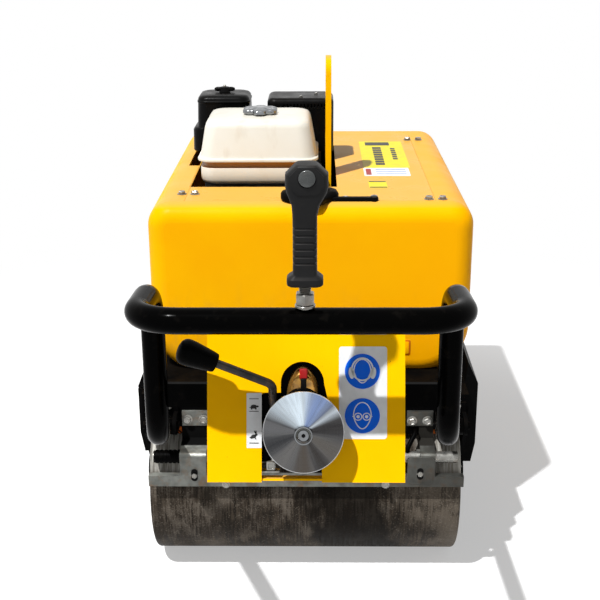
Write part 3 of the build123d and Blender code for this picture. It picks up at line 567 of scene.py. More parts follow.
steel = drum_finish.mix(drum_finish.span(patches, 0.46, 0.62, 0.0, 0.75), steel, (0.150, 0.125, 0.098))
steel = drum_finish.mix(drum_finish.span(blotches, 0.50, 0.68, 0.0, 0.55), steel, (0.170, 0.145, 0.118))
steel = drum_finish.mix(drum_finish.span(blotches, 0.46, 0.34, 0.0, 0.60), steel, (0.010, 0.008, 0.006))
steel = drum_finish.mix(drum_finish.span(specks, 0.60, 0.74, 0.0, 0.55), steel, (0.26, 0.23, 0.19))
across = drum_finish.axis("X")
# Painted shadow: a black band right of the middle, with a ragged slanting edge, for the shadow of the panel
# and the tiller.
torn = drum_finish.noise(22.0, 6.0, stretch=(1, 0.5, 0.5))
ragged_edge = drum_finish.span(torn, 0.30, 0.70, -0.035, 0.035)
slanted = drum_finish.calc("MULTIPLY", drum_finish.axis("Z"), 0.22)
wandering = drum_finish.calc("ADD", drum_finish.calc("ADD", across, slanted), ragged_edge)
shadow_band_left = drum_finish.span(wandering, 0.030, 0.062)
shadow_band_right = drum_finish.span(wandering, 0.185, 0.225, 1.0, 0.0)
painted_shadow_band = drum_finish.calc("MULTIPLY", shadow_band_left, shadow_band_right)
steel = drum_finish.mix(drum_finish.calc("MULTIPLY", painted_shadow_band, 0.86), steel, (0.004, 0.003, 0.002))
# Painted light: a pale patch high on both ends of the front drum's near side, for sunlight on its top, drawn
# like dried slurry.
from_centre = drum_finish.calc("ABSOLUTE", drum_finish.calc("ADD", across, 0.005))
light_patch_ends = drum_finish.span(from_centre, 0.225, 0.262)
light_patch_top = drum_finish.span(drum_finish.axis("Z"), 0.236, 0.252)
light_patch_near_side = drum_finish.span(drum_finish.axis("Y"), -0.012, 0.006, 1.0, 0.0)
painted_light_patch = drum_finish.calc("MULTIPLY", drum_finish.calc("MULTIPLY", light_patch_ends, light_patch_top), light_patch_near_side)
painted_light_patch = drum_finish.calc("MULTIPLY", painted_light_patch, drum_finish.span(scores, 0.36, 0.62, 0.90, 0.25))
steel = drum_finish.mix(painted_light_patch, steel, (0.46, 0.45, 0.41))
drum_finish.set("Specular IOR Level", 0.06)
drum_finish.feed("Base Color", steel)
drum_finish.feed("Roughness", drum_finish.span(scores, 0.3, 0.7, 0.45, 0.68))
drum_finish.relief(drum_finish.calc("ADD", scores, specks), 0.35, 0.0008)
dress(drum_finish, "front_drum", "rear_drum")

# %% [markdown]
# ## Tank plastic, cast metal, chrome and labels
# The fuel tank is cream plastic that has yellowed a little. The groove under its flange is painted
# brown, a painted shade under the flange. The engine is cast aluminium. Labels are printed foil
# with a soft gloss.

# %% remaining finishes
CREAM = (0.74, 0.72, 0.65)
tank_finish = Finish("tank_cream", CREAM, 0.34, specular=0.4)
mottle = tank_finish.span(tank_finish.noise(16.0, 6.0), 0.35, 0.70, 0.0, 0.5)
cream_tone = tank_finish.mix(mottle, CREAM, (0.70, 0.66, 0.56))
smear = tank_finish.span(tank_finish.noise(34.0, 8.0, stretch=(1, 1, 0.4)), 0.56, 0.76, 0.0, 0.18)
cream_tone = tank_finish.mix(smear, cream_tone, paint(165, 135, 95))
# Painted shade: a brown band in the groove under the flange, for the flange's shadow.
flange_shade_top = tank_finish.span(tank_finish.axis("Z"), 0.8262, 0.8272, 1.0, 0.0)
flange_shade_low = tank_finish.span(tank_finish.axis("Z"), 0.8120, 0.8130, 0.0, 1.0)
flange_shade = tank_finish.calc("MULTIPLY", flange_shade_top, flange_shade_low)
tank_finish.feed("Base Color", tank_finish.mix(flange_shade, cream_tone, paint(176, 118, 40)))
tank_finish.relief(tank_finish.noise(300.0, 3.0), 0.10, 0.0005)

cast_finish = Finish("cast_aluminium", (0.13, 0.13, 0.125), 0.50, metallic=0.7)
oily = cast_finish.span(cast_finish.noise(20.0, 7.0), 0.35, 0.65)
cast_finish.feed("Base Color", cast_finish.mix(oily, (0.13, 0.13, 0.125), (0.03, 0.026, 0.02)))
cast_finish.relief(cast_finish.noise(420.0, 4.0), 0.4, 0.0006)
dress(cast_finish, "engine_block", "muffler")

chrome_finish = Finish("chrome", (0.24, 0.25, 0.26), 0.16, metallic=1.0)
pitted = chrome_finish.span(chrome_finish.noise(60.0, 4.0), 0.50, 0.78, 0.0, 0.5)
chrome_finish.feed("Base Color", chrome_finish.mix(pitted, (0.24, 0.25, 0.26), (0.08, 0.075, 0.07)))
chrome_finish.feed("Roughness", chrome_finish.span(chrome_finish.noise(60.0, 5.0), 0.3, 0.7, 0.10, 0.28))

lever_finish = plated_finish("dark_lever_steel", (0.032, 0.031, 0.031), 0.30, 0.25)
button_finish = plated_finish("button_steel", (0.085, 0.09, 0.09), 0.24, 0.1, 0.5)
dress(lever_finish, "travel_lever")


def label_finish(name, colour, roughness=0.36):
    """Printed foil: its colour slightly faded in patches, with a faint wrinkle."""
    finish = Finish(name, colour, roughness, specular=0.1)
    faded = tuple(min(1.0, v * 0.86 + 0.02) for v in colour)
    finish.feed("Base Color", finish.mix(finish.span(finish.noise(60.0, 6.0), 0.4, 0.7), colour, faded))
    finish.relief(finish.noise(180.0, 2.0), 0.05, 0.0004)
    return finish


label_white = label_finish("label_white", (0.80, 0.81, 0.82))
label_blue = label_finish("label_blue", (0.001, 0.13, 0.80))
label_black = label_finish("label_black", (0.02, 0.02, 0.02))
label_yellow = label_finish("label_yellow", (0.80, 0.66, 0.0))
label_red = label_finish("label_red", (0.34, 0.012, 0.012))
print("finishes:", len(bpy.data.materials))

# %% [markdown]
# # Modelling helpers
# Most small parts here are either built up from a flat outline, row by row, or turned like a part
# on a lathe. Both are one idea: add a flat outline, then extrude and resize it again and again.

# %% selection helpers
def mm(*values):
    """A place or a size given in millimetres."""
    return Vector([v * 0.001 for v in values])


def clear():
    """Back to object mode with nothing selected."""
    if bpy.context.object and bpy.context.object.mode == "EDIT":
        bpy.ops.object.mode_set(mode="OBJECT")
    bpy.ops.object.select_all(action="DESELECT")


def take(piece):
    """Makes one piece the only one selected and the active one."""
    clear()
    piece.select_set(True)
    bpy.context.view_layer.objects.active = piece


def added(name):
    """Names the primitive just added and settles its place into its mesh."""
    piece = bpy.context.object
    piece.name = name
    bpy.ops.object.transform_apply(location=True, rotation=True, scale=True)
    return piece


print("selection helpers ready")

# %% [markdown]
# Each row says where the outline goes next and how wide it is there. The first outline and the
# last stay closed, so the piece is a solid.

# %% shaping helpers
def climb(piece, rows):
    """Extrudes and resizes the selected outline through the rows: x, y, z and two half widths."""
    for before, after in zip(rows, rows[1:]):
        step = mm(*after[:3]) - mm(*before[:3])
        ratio = (after[3] / before[3], after[4] / before[4], 1)
        bpy.ops.mesh.extrude_region_move(TRANSFORM_OT_translate={"value": step})
        bpy.ops.transform.resize(value=ratio, center_override=mm(*after[:3]))
    bpy.ops.mesh.select_all(action="SELECT")
    bpy.ops.mesh.normals_make_consistent(inside=False)
    bpy.ops.object.mode_set(mode="OBJECT")
    return piece


def build_up(name, rows, corner=0.0, segments=4):
    """A piece pulled up from a rectangle with rounded corners."""
    clear()
    x, y, z, wide, deep = rows[0]
    bpy.ops.mesh.primitive_plane_add(size=2, location=mm(x, y, z))
    bpy.context.object.scale = (wide * 0.001, deep * 0.001, 1)
    piece = added(name)
    bpy.ops.object.mode_set(mode="EDIT")
    bpy.ops.mesh.select_all(action="SELECT")
    if corner:
        bpy.ops.mesh.bevel(offset=corner * 0.001, segments=segments, affect="VERTICES")
        bpy.ops.mesh.select_all(action="SELECT")
    return climb(piece, rows)


def turned(name, rows, sides=32):
    """A piece turned about +Z through rows of height and radius."""
    clear()
    height, radius = rows[0]
    bpy.ops.mesh.primitive_circle_add(
        vertices=sides, radius=radius * 0.001, fill_type="NGON", location=mm(0, 0, height)
    )
    piece = added(name)
    bpy.ops.object.mode_set(mode="EDIT")
    bpy.ops.mesh.select_all(action="SELECT")
    return climb(piece, [(0, 0, h, r, r) for h, r in rows])


print("shaping helpers ready")

# %% [markdown]
# A shaped piece then gets its edges rounded, is carried to its place, and is given its finish, its
# slot and the body that it rides on.

# %% finishing helpers
def soften(piece, width, segments=2, angle=30):
    """Rounds every edge sharper than the angle."""
    take(piece)
    bevel = piece.modifiers.new("round", "BEVEL")
    bevel.width = width * 0.001
    bevel.segments = segments
    bevel.limit_method = "ANGLE"
    bevel.angle_limit = math.radians(angle)
    bpy.ops.object.modifier_apply(modifier=bevel.name)
    return piece


def settle(piece, matrix):
    """Moves a piece to its place and writes that place into its mesh."""
    take(piece)
    piece.matrix_world = matrix @ piece.matrix_world
    bpy.ops.object.transform_apply(location=True, rotation=True, scale=True)
    return piece


def join(name, pieces):
    """Joins several pieces into one mesh."""
    take(pieces[0])
    for piece in pieces[1:]:
        piece.select_set(True)
    bpy.ops.object.join()
    bpy.context.object.name = name
    return bpy.context.object


def twin(piece, name, matrix):
    """A copy with its own mesh, in its own place."""
    other = piece.copy()
    other.data = piece.data.copy()
    other.name = name
    scene.collection.objects.link(other)
    return settle(other, matrix)


def done(piece, body, finish, angle=35):
    """Smooths the piece, gives it its finish and lets it ride on its body."""
    take(piece)
    bpy.ops.object.shade_smooth_by_angle(angle=math.radians(angle))
    if not piece.data.materials:
        piece.data.materials.append(finish.material)
    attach(piece, body)
    clear()
    return piece


print("finishing helpers ready")

# %% [markdown]
# Places are given in millimetres and turns in degrees, and the two are put together with @. Three
# turns come up often: flat pieces are drawn facing up, then turned to the operator or to a side.

# %% places and turns
def at(*place):
    """A shift to a place in millimetres."""
    return Matrix.Translation(mm(*place))


def turn(degrees, axis):
    """A turn about one axis through the origin."""
    return Matrix.Rotation(math.radians(degrees), 4, axis)


TO_OPERATOR = turn(90, "X")
TO_LEFT = turn(-90, "Y")
TO_RIGHT = turn(90, "Y")
print("places and turns ready")

# %% [markdown]
# ## Bolts
# Hexagon bolts hold the top sheet, the brackets and the pivot plates. One is modelled: a washer, a
# six-sided head with its corners turned off, and a shallow dish on top. The rest are copies.

# %% one bolt
def hex_bolt(name, radius, height):
    """A hexagon head on a washer, standing on the plane z = 0."""
    washer_rows = [(0, 1.28), (0.18, 1.28), (0.22, 1.2)]
    washer = turned("washer", [(radius * h, radius * k) for h, k in washer_rows], 24)
    base = radius * 0.2
    head_rows = [(0, 0.96), (0.1, 1), (0.8, 1), (1, 0.86), (1, 0.62), (0.86, 0.5)]
    head = turned("head", [(base + height * h, radius * k) for h, k in head_rows], 6)
    return join(name, [washer, head])


bolt = hex_bolt("bolt_pattern", 7.5, 5.5)


def place_bolts(prefix, places, turning, body, size=1.0):
    """Copies the bolt to several places, each head turned a little differently."""
    for k, place in enumerate(places):
        matrix = at(*place) @ turning @ turn(17 * k + 8, "Z") @ Matrix.Scale(size, 4)
        done(twin(bolt, f"{prefix}_{k + 1}", matrix), body, bolt_finish)
    print(prefix, len(places))


TOP_SHEET_Z = 777
PLATE_FACE_Y = -84
UPRIGHT = Matrix.Identity(4)
TOP_BOLTS = [(-270, 144), (-242, 144), (255, 98), (284, 98), (259, 735), (288, 735)]
TOP_BOLTS += [(-268, 735), (-240, 735), (80, 94), (140, 103)]
place_bolts("top_bolt", [(x, y, TOP_SHEET_Z) for x, y in TOP_BOLTS], UPRIGHT, "chassis", 1.05)
FOOT_BOLTS = [(-249.3, 354), (-216, 354), (217, 351), (249, 351.5)]
place_bolts("plate_bolt", [(x, PLATE_FACE_Y, z) for x, z in FOOT_BOLTS], TO_OPERATOR, "chassis", 1.1)
PIVOT_BOLTS = [(x + dx, z) for x in (-300.5, 295.5) for dx in (-13, 13) for z in (338, 384)]
place_bolts("pivot_bolt", [(x, PLATE_FACE_Y, z) for x, z in PIVOT_BOLTS], TO_OPERATOR, "chassis", 0.85)

# %% [markdown]
# ## Grip with its button
# The upright grip is one moulding: an oblong flange, a ribbed handle and a wide flat head with cut
# corners. It is built up from the flange. Six grooves are pinched in on the way, and the head's
# corners come from the last rows. The button is a turned dome in a bright ring.

# %% grip
GROOVES = (934, 943, 952, 961, 970, 979)
GRIP_Y = -839
GRIP_X = 4
HEAD_X = 6.5
HANDLE = (15.2, 13.4)
PINCHED = (14.0, 12.4)
profile = [(GRIP_X, 903.5, 21, 14), (GRIP_X, 905.5, 23, 16), (GRIP_X, 913, 23, 16), (GRIP_X, 916, 20, 14)]
profile += [(GRIP_X, 919, 15.5, 13.4), (GRIP_X, 930, *HANDLE)]
for z in GROOVES:
    profile += [(GRIP_X, z - 1.3, *HANDLE), (GRIP_X, z - 0.9, *PINCHED)]
    profile += [(GRIP_X, z + 0.9, *PINCHED), (GRIP_X, z + 1.3, *HANDLE)]
profile += [(GRIP_X, 996, 15.4, 14), (5, 1008, 17.5, 15.5), (HEAD_X, 1024, 25.0, 17)]
profile += [(HEAD_X, 1031, 26.4, 17.4), (HEAD_X, 1046, 26.4, 17.4), (HEAD_X, 1056.5, 15.5, 17)]
profile += [(HEAD_X, 1059, 12.5, 15)]
grip_rows = [(x, GRIP_Y, z, wide, deep) for x, z, wide, deep in profile]
grip_piece = soften(build_up("grip_moulding", grip_rows, 8.0, 5), 0.5, 2, 25)
done(grip_piece, "tiller", grip_finish, 40)
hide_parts("grip")
print("grip rows:", len(grip_rows))

# %% grip face plate and button
plate_rows = [(0, 0, 0, 21, 16), (0, 0, 1.0, 21, 16), (0, 0, 1.3, 20.4, 15.4)]
face_plate = settle(build_up("grip_face", plate_rows, 9.0, 1), at(HEAD_X, GRIP_Y - 17.2, 1039) @ TO_OPERATOR)
done(face_plate, "tiller", grip_finish)
ring_rows = [(0, 11.2), (1.0, 11.2), (1.5, 10.8), (1.5, 10.0), (0.8, 9.8)]
ring = settle(turned("button_ring", ring_rows, 36), at(6.8, GRIP_Y - 18.2, 1043.2) @ TO_OPERATOR)
done(ring, "tiller", rubber_finish, 30)
dome_rows = [(0, 10.6), (2.2, 10.6), (3.0, 9.8), (3.2, 8.6), (3.9, 7.2), (4.6, 4.6), (4.8, 0.5)]
dome = settle(turned("button_dome", dome_rows, 36), at(6.8, GRIP_Y - 18.2, 1043.8) @ TO_OPERATOR)
done(dome, "tiller", button_finish, 60)
print("button ready")

# %% stud and nut
THREAD_PITCH = 2.2
stud_rows = [(871.5, 8.0)]
for k in range(14):
    stud_rows += [(872.4 + THREAD_PITCH * k, 8.0), (873.4 + THREAD_PITCH * k, 7.1)]
nut_rows = [(877, 11.5), (878.5, 13), (891, 13), (892.5, 11.5)]
washer_rows = [(874, 13), (876.4, 13), (877, 12.4)]
turnings = [("grip_stud_thread", stud_rows, 20), ("grip_nut", nut_rows, 6)]
turnings += [("grip_nut_washer", washer_rows, 28)]
stud_parts = [settle(turned(*turning), at(GRIP_X, GRIP_Y, 0)) for turning in turnings]
stud_piece = join("grip_stud_detail", stud_parts)
done(stud_piece, "tiller", bolt_finish, 20)
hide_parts("grip_stud")
print("stud ready")

# %% [markdown]
# ## Caps
# The water cap is a black moulding with four grip lobes and a flat tether strap. The fuel cap is
# pressed chrome with a scalloped edge. A scalloped outline comes from a coarse circle: divide its
# edges, pull the new points in, and round the tips with a vertex bevel.

# %% scalloped outline
def scalloped(name, lobes, radius, waist, tip, rows):
    """Builds up a piece from a scalloped outline, through rows of height and scale."""
    clear()
    bpy.ops.mesh.primitive_circle_add(vertices=lobes, radius=radius * 0.001, fill_type="NGON")
    piece = added(name)
    bpy.ops.object.mode_set(mode="EDIT")
    bpy.ops.mesh.select_all(action="SELECT")
    bpy.ops.mesh.bevel(offset=tip * 0.001, segments=1, affect="VERTICES")
    bpy.ops.mesh.select_all(action="SELECT")
    bpy.ops.mesh.subdivide(number_cuts=1)
    shape = bmesh.from_edit_mesh(piece.data)
    flat = math.cos(math.pi / lobes) * radius * 0.001
    for vert in shape.verts:
        across = vert.co.xy.length
        if abs(across - flat) < 0.00015:
            vert.co.xy *= waist / (across * 1000)
    bmesh.update_edit_mesh(piece.data)
    bpy.ops.mesh.select_all(action="SELECT")
    bpy.ops.mesh.bevel(offset=tip * 0.00042, segments=4, affect="VERTICES")
    bpy.ops.mesh.select_all(action="SELECT")
    return climb(piece, [(0, 0, h, radius * k, radius * k) for h, k in rows])


print("outline helper ready")

# %% water cap
cap_rows = [(0, 0.97), (2, 1.0), (13, 1.0), (18, 0.95), (20.5, 0.84), (20.5, 0.72), (22, 0.70)]
cap_rows += [(24.5, 0.66), (26.5, 0.5), (26.8, 0.2)]
cap = scalloped("water_cap_moulding", 4, 74, 46, 22, cap_rows)
settle(cap, at(4.5, 99, TOP_SHEET_Z) @ turn(8, "Z"))
strap_rows = [(98, 85, 777.2, 50, 6), (98, 85, 784.0, 50, 6), (98, 85, 785.5, 49, 5)]
strap = build_up("strap", strap_rows, 5.0, 5)
strap_end = settle(turned("strap_end", [(0, 9), (7.2, 9), (8.6, 8)], 24), at(139, 86, 777.2))
cap_piece = join("water_cap_detail", [cap, strap, strap_end])
done(cap_piece, "chassis", cover_finish, 40)
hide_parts("water_cap")
print("water cap ready")

# %% fuel cap
cap_rows = [(0, 0.80), (1, 0.82), (3.5, 0.96), (5, 1.0), (10, 1.0), (13, 0.95), (14.5, 0.86)]
cap_rows += [(14.5, 0.74), (13.8, 0.70), (15.6, 0.5), (16.6, 0.25), (16.8, 0.05)]
fuel_piece = scalloped("fuel_cap_detail", 6, 36.8, 24.7, 8.7, cap_rows)
settle(fuel_piece, at(-108.5, 334, 916.2))
done(fuel_piece, "chassis", chrome_finish, 40)
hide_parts("fuel_cap")
print("fuel cap ready")

# %% [markdown]
# ## Fuel tank
# Two cream half shells meet in a flange. The lower half is shallow with a well rounded foot; the
# upper half leans in, rounds over and ends in a slight crown. Both are built up in one go, with the
# groove under the flange as a step inwards.

# %% fuel tank
TANK = (-111.5, 347)
profile = [(774.2, 117, 98), (775.6, 121.5, 102), (779, 125.4, 106), (785, 127.8, 108.4), (796, 128.5, 109)]
profile += [(812.4, 128.5, 109), (813, 120.5, 101), (826.4, 120.5, 101), (826.8, 134.3, 114.8)]
profile += [(832.4, 134.3, 114.8), (833.2, 128.8, 109.3), (838, 128.0, 108.5), (898, 117.6, 98.1)]
profile += [(906, 115.2, 95.7), (911.5, 110.5, 91), (914.6, 103, 83.5), (916.2, 88, 68.5), (917.4, 55, 42)]
tank_rows = [(*TANK, z, wide, deep) for z, wide, deep in profile]
tank = soften(build_up("fuel_tank_shell", tank_rows, 30.0, 8), 0.8, 2, 40)
done(tank, "chassis", tank_finish, 50)
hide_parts("fuel_tank")
print("tank rows:", len(tank_rows))

# %% [markdown]
# ## Air cleaner
# A tall rounded cover stands on a wider base. Near its top a bead runs round it where the lid
# begins. A wing nut with a bright stud holds the lid.

# %% air cleaner
LID_X = -204
CLEANER_Y = 535
profile = [(-210, 800, 68, 59), (-210, 803, 70, 61), (-210, 852, 69.4, 60.4), (-209, 857, 66, 59.5)]
profile += [(-204.5, 858.5, 64.6, 59.8), (LID_X, 862, 64.2, 59.6), (LID_X, 916, 62.6, 59.0)]
profile += [(LID_X, 917, 63.8, 60.4), (LID_X, 921, 63.9, 60.9), (LID_X, 922, 62.4, 59.4)]
profile += [(LID_X, 927, 61.6, 58.6), (LID_X, 932, 57.5, 54.5), (LID_X, 934.4, 50, 47), (LID_X, 935, 30, 28)]
cleaner_rows = [(x, CLEANER_Y, z, wide, deep) for x, z, wide, deep in profile]
cleaner = soften(build_up("air_cleaner_cover", cleaner_rows, 26.0, 7), 0.6, 2, 40)
done(cleaner, "chassis", engine_finish, 50)
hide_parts("air_cleaner")

profile = [(938, 21, 5), (940, 25, 6.5), (945, 25, 6.5), (947.5, 20, 4.5)]
wing = build_up("wing", [(LID_X, CLEANER_Y, *row) for row in profile], 4.5, 5)
hub_rows = [(935, 14), (939, 13), (941, 11.8), (947, 11.6), (948, 10)]
hub = settle(turned("hub", hub_rows, 28), at(LID_X, CLEANER_Y, 0))
wing_nut = soften(join("wing_nut", [wing, hub]), 0.8, 2, 40)
done(wing_nut, "chassis", engine_finish, 50)
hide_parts("air_cleaner_knob")
wing_stud = turned("wing_stud", [(944, 3.4), (951, 3.4), (952.5, 2.2)], 16)
settle(wing_stud, at(LID_X, CLEANER_Y, 0))
done(wing_stud, "chassis", bolt_finish)
guard_screws = [(-18.2, 500.7, 928), (17.8, 546.5, 928)]
place_bolts("guard_screw", guard_screws, UPRIGHT, "chassis", 0.55)
print("air cleaner ready")

# %% [markdown]
# ## Recoil starter
# The fan cover faces the operator under the tank. It is turned in steps, and then every other face
# of its flat ring is sunk to make the air slots round the starter cup.

# %% recoil cover
RECOIL_SIDES = 64
recoil_rows = [(0, 106), (2, 108), (22, 107), (30, 103), (33, 97)]
recoil_rows += [(33.2, 62), (35.4, 58), (35.6, 30), (32.8, 26)]
recoil = turned("recoil_cover_detail", recoil_rows, RECOIL_SIDES)
take(recoil)
bpy.ops.object.mode_set(mode="EDIT")
bpy.ops.mesh.select_mode(type="FACE")
bpy.ops.mesh.select_all(action="DESELECT")
shape = bmesh.from_edit_mesh(recoil.data)
for face in shape.faces:
    middle = face.calc_center_median()
    sector = int((math.atan2(middle.y, middle.x) + math.pi) / math.tau * RECOIL_SIDES)
    face.select_set(0.070 < middle.xy.length < 0.090 and middle.z > 0.030 and sector % 2 == 0)
bmesh.update_edit_mesh(recoil.data)
bpy.ops.mesh.inset(thickness=0.0012, depth=0, use_individual=True)
bpy.ops.mesh.inset(thickness=0.0002, depth=-0.008, use_individual=True)
bpy.ops.object.mode_set(mode="OBJECT")
settle(recoil, at(-110, 265.9, 655) @ TO_OPERATOR)
done(recoil, "chassis", engine_finish)
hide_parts("recoil_cover")
print("recoil cover ready")

# %% [markdown]
# # Control panel
# The panel leans away from the operator. Everything on it is modelled flat, with x across, y up the
# slope and z towards the operator, and is then laid on the sheet by one matrix.

# %% the panel's own plane
PANEL_LEAN = 19
PANEL_STAND = at(4, -764, 706) @ turn(-PANEL_LEAN, "X")
PANEL_PLANE = PANEL_STAND @ TO_OPERATOR
PROUD = 0.35


def on_panel(piece, across, up, out=0.0):
    """Lays a flat piece on the leaning panel."""
    return settle(piece, PANEL_PLANE @ at(across, up, out))


def printed(piece, across, up, finish, out=0.0):
    """Lays a piece of print on the panel and gives it its finish."""
    return done(on_panel(piece, across, up, out), "tiller", finish)


def flat_plate(name, wide, deep, thick, corner):
    """A thin plate with rounded corners, its back at z = 0."""
    return build_up(name, [(0, 0, 0, wide / 2, deep / 2), (0, 0, thick, wide / 2, deep / 2)], corner, 4)


def loop_line(name, wide, high, line, taper):
    """A thin closed line: an oval narrowed towards its foot, inset and emptied."""
    clear()
    bpy.ops.mesh.primitive_circle_add(vertices=40, radius=0.001, fill_type="NGON")
    piece = added(name)
    bpy.ops.object.mode_set(mode="EDIT")
    shape = bmesh.from_edit_mesh(piece.data)
    for vert in shape.verts:
        low = max(0.0, -vert.co.y * 1000)
        vert.co.x *= wide / 2 * (1 - taper * low)
        vert.co.y *= high / 2
    bmesh.update_edit_mesh(piece.data)
    bpy.ops.mesh.select_mode(type="FACE")
    bpy.ops.mesh.select_all(action="SELECT")
    bpy.ops.mesh.inset(thickness=line * 0.001, depth=0)
    bpy.ops.mesh.delete(type="FACE")
    bpy.ops.mesh.select_all(action="SELECT")
    bpy.ops.mesh.extrude_region_move(TRANSFORM_OT_translate={"value": mm(0, 0, PROUD)})
    bpy.ops.mesh.select_all(action="SELECT")
    bpy.ops.mesh.normals_make_consistent(inside=False)
    bpy.ops.object.mode_set(mode="OBJECT")
    return piece


def blob(across, up, wide, high, lean=0.0):
    """A small flat oval used to draw a silhouette."""
    piece = turned("blob", [(0, 1), (PROUD, 1)], 20)
    return settle(piece, at(across, up, 0) @ turn(lean, "Z") @ Matrix.Diagonal((wide / 2, high / 2, 1, 1)))


print("panel plane ready")

# %% [markdown]
# ## Safety label
# A white label with rounded corners carries two blue discs. Each holds a plain sign for wearing
# protection: an outline with ear muffs, and one with goggles. Neither has a face.

# %% safety label
LABEL_U = 78.9
SIGN_U = LABEL_U - 0.9
label = flat_plate("safety_label", 66.4, 128.2, PROUD, 4)
printed(label, LABEL_U, 13.0, label_white)
for part, up in (("ears", 42.7), ("eyes", -18.8)):
    blue = turned(f"blue_disc_{part}", [(0, 24.3), (PROUD * 2, 24.3)], 64)
    printed(blue, SIGN_U, up, label_blue)

ears = [loop_line("head_line", 25, 34, 1.4, 0.28)]
ears.append(settle(loop_line("band_line", 31, 33, 2.2, 0.02), at(0, 2.6, 0)))
for side in (-1, 1):
    ears.append(blob(side * 15.0, -2.5, 8.0, 16.5, side * -7))
ears = join("ear_muff_sign", ears)
printed(ears, SIGN_U, 43.0, label_white, PROUD * 2)

eyes = [loop_line("head_line", 26, 38, 1.4, 0.22)]
for side in (-1, 1):
    eyes.append(settle(loop_line("goggle_line", 11.5, 11.0, 1.3, 0), at(side * 5.9, -1.5, 0)))
    eyes.append(blob(side * 5.9, -1.5, 4.6, 4.6))
    eyes.append(blob(side * 12.4, -1.2, 3.0, 1.5))
eyes = join("goggle_sign", eyes)
printed(eyes, SIGN_U, -18.6, label_white, PROUD * 2)
print("safety label ready")

# %% [markdown]
# ## Speed strip
# The white strip beside the lever shows a tortoise for slow and a hare for fast. Each silhouette
# is drawn with a few flat ovals.

# %% speed strip
strip = flat_plate("speed_strip", 21.0, 76.4, PROUD, 1.0)
printed(strip, -72.0, -25.7, label_white)
TORTOISE = [(0, 0.6, 8.6, 5.6), (5.2, 0.8, 3.2, 2.6), (-3, -2.2, 2.4, 2.6)]
TORTOISE += [(2.6, -2.2, 2.4, 2.6), (-4.8, -0.8, 3.0, 1.2)]
tortoise = join("tortoise", [blob(*oval) for oval in TORTOISE])
printed(tortoise, -72.4, -7.0, label_black, PROUD)
HARE = [(0, -0.6, 8.0, 5.0, 18), (3.8, 1.8, 3.6, 3.0), (2.2, 5.0, 1.6, 5.4, 24)]
HARE += [(3.6, 5.2, 1.5, 5.2, 6), (-3.4, -2.6, 4.4, 1.8, -28), (2.6, -3.0, 1.6, 4.2, 30)]
hare = join("hare", [blob(*oval) for oval in HARE])
printed(hare, -72.9, -47.2, label_black, PROUD)
for k, up in enumerate((4.5, -13.0, -57.0)):
    rule = flat_plate(f"strip_rule_{k + 1}", 13.0, 1.1, PROUD, 0.3)
    printed(rule, -72.2, up, cast_finish, PROUD)
print("speed strip ready")

# %% [markdown]
# ## Push disc
# The disc is faced on a lathe, and fine rings run round it. Its sheen is painted into its colour:
# wedges of painted reflection run out from the middle, and the rim has a painted highlight. The
# finish reads the distance and the angle about the disc's own axis. A bright ring lines the recess
# and a socket screw sits in it.

# %% turned metal finish
DISC_U, DISC_V = -3.2, -37.4
RECESS_V = -42.0
DISC_CENTRE = PANEL_PLANE @ mm(DISC_U, DISC_V, 0)
disc_finish = Finish("turned_disc", (0.55, 0.55, 0.56), 0.24, metallic=1.0)
where = disc_finish.tree.nodes.new("ShaderNodeTexCoord")
upright = disc_finish.tree.nodes.new("ShaderNodeMapping")
lean = math.radians(PANEL_LEAN)
back_turn = Matrix.Rotation(lean, 3, "X")
upright.inputs["Rotation"].default_value = (lean, 0, 0)
upright.inputs["Location"].default_value = -(back_turn @ DISC_CENTRE)
disc_finish.tree.links.new(where.outputs["Object"], upright.inputs["Vector"])
parts = disc_finish.tree.nodes.new("ShaderNodeSeparateXYZ")
disc_finish.tree.links.new(upright.outputs["Vector"], parts.inputs[0])
across, up = parts.outputs["X"], parts.outputs["Z"]
angle = disc_finish.calc("ARCTAN2", up, across)
squares = [disc_finish.calc("MULTIPLY", length, length) for length in (across, up)]
distance = disc_finish.calc("SQRT", disc_finish.calc("ADD", *squares))


def wedge(centre, half):
    """One inside a wedge of the disc, fading to nought at its sides."""
    turned_by = disc_finish.calc("SUBTRACT", angle, math.radians(centre))
    wrapped = disc_finish.calc("COSINE", turned_by)
    return disc_finish.span(wrapped, math.cos(math.radians(half)), 1.0)


polar = disc_finish.tree.nodes.new("ShaderNodeCombineXYZ")
disc_finish.tree.links.new(disc_finish.calc("MULTIPLY", angle, 2.6), polar.inputs[0])
disc_finish.tree.links.new(disc_finish.calc("MULTIPLY", distance, 6.0), polar.inputs[1])
streak = disc_finish.tree.nodes.new("ShaderNodeTexNoise")
streak.inputs["Scale"].default_value = 3.0
streak.inputs["Detail"].default_value = 6.0
disc_finish.tree.links.new(polar.outputs[0], streak.inputs["Vector"])
rings = disc_finish.tree.nodes.new("ShaderNodeTexNoise")
rings.noise_dimensions = "1D"
rings.inputs["Scale"].default_value = 2600.0
disc_finish.tree.links.new(distance, rings.inputs["W"])

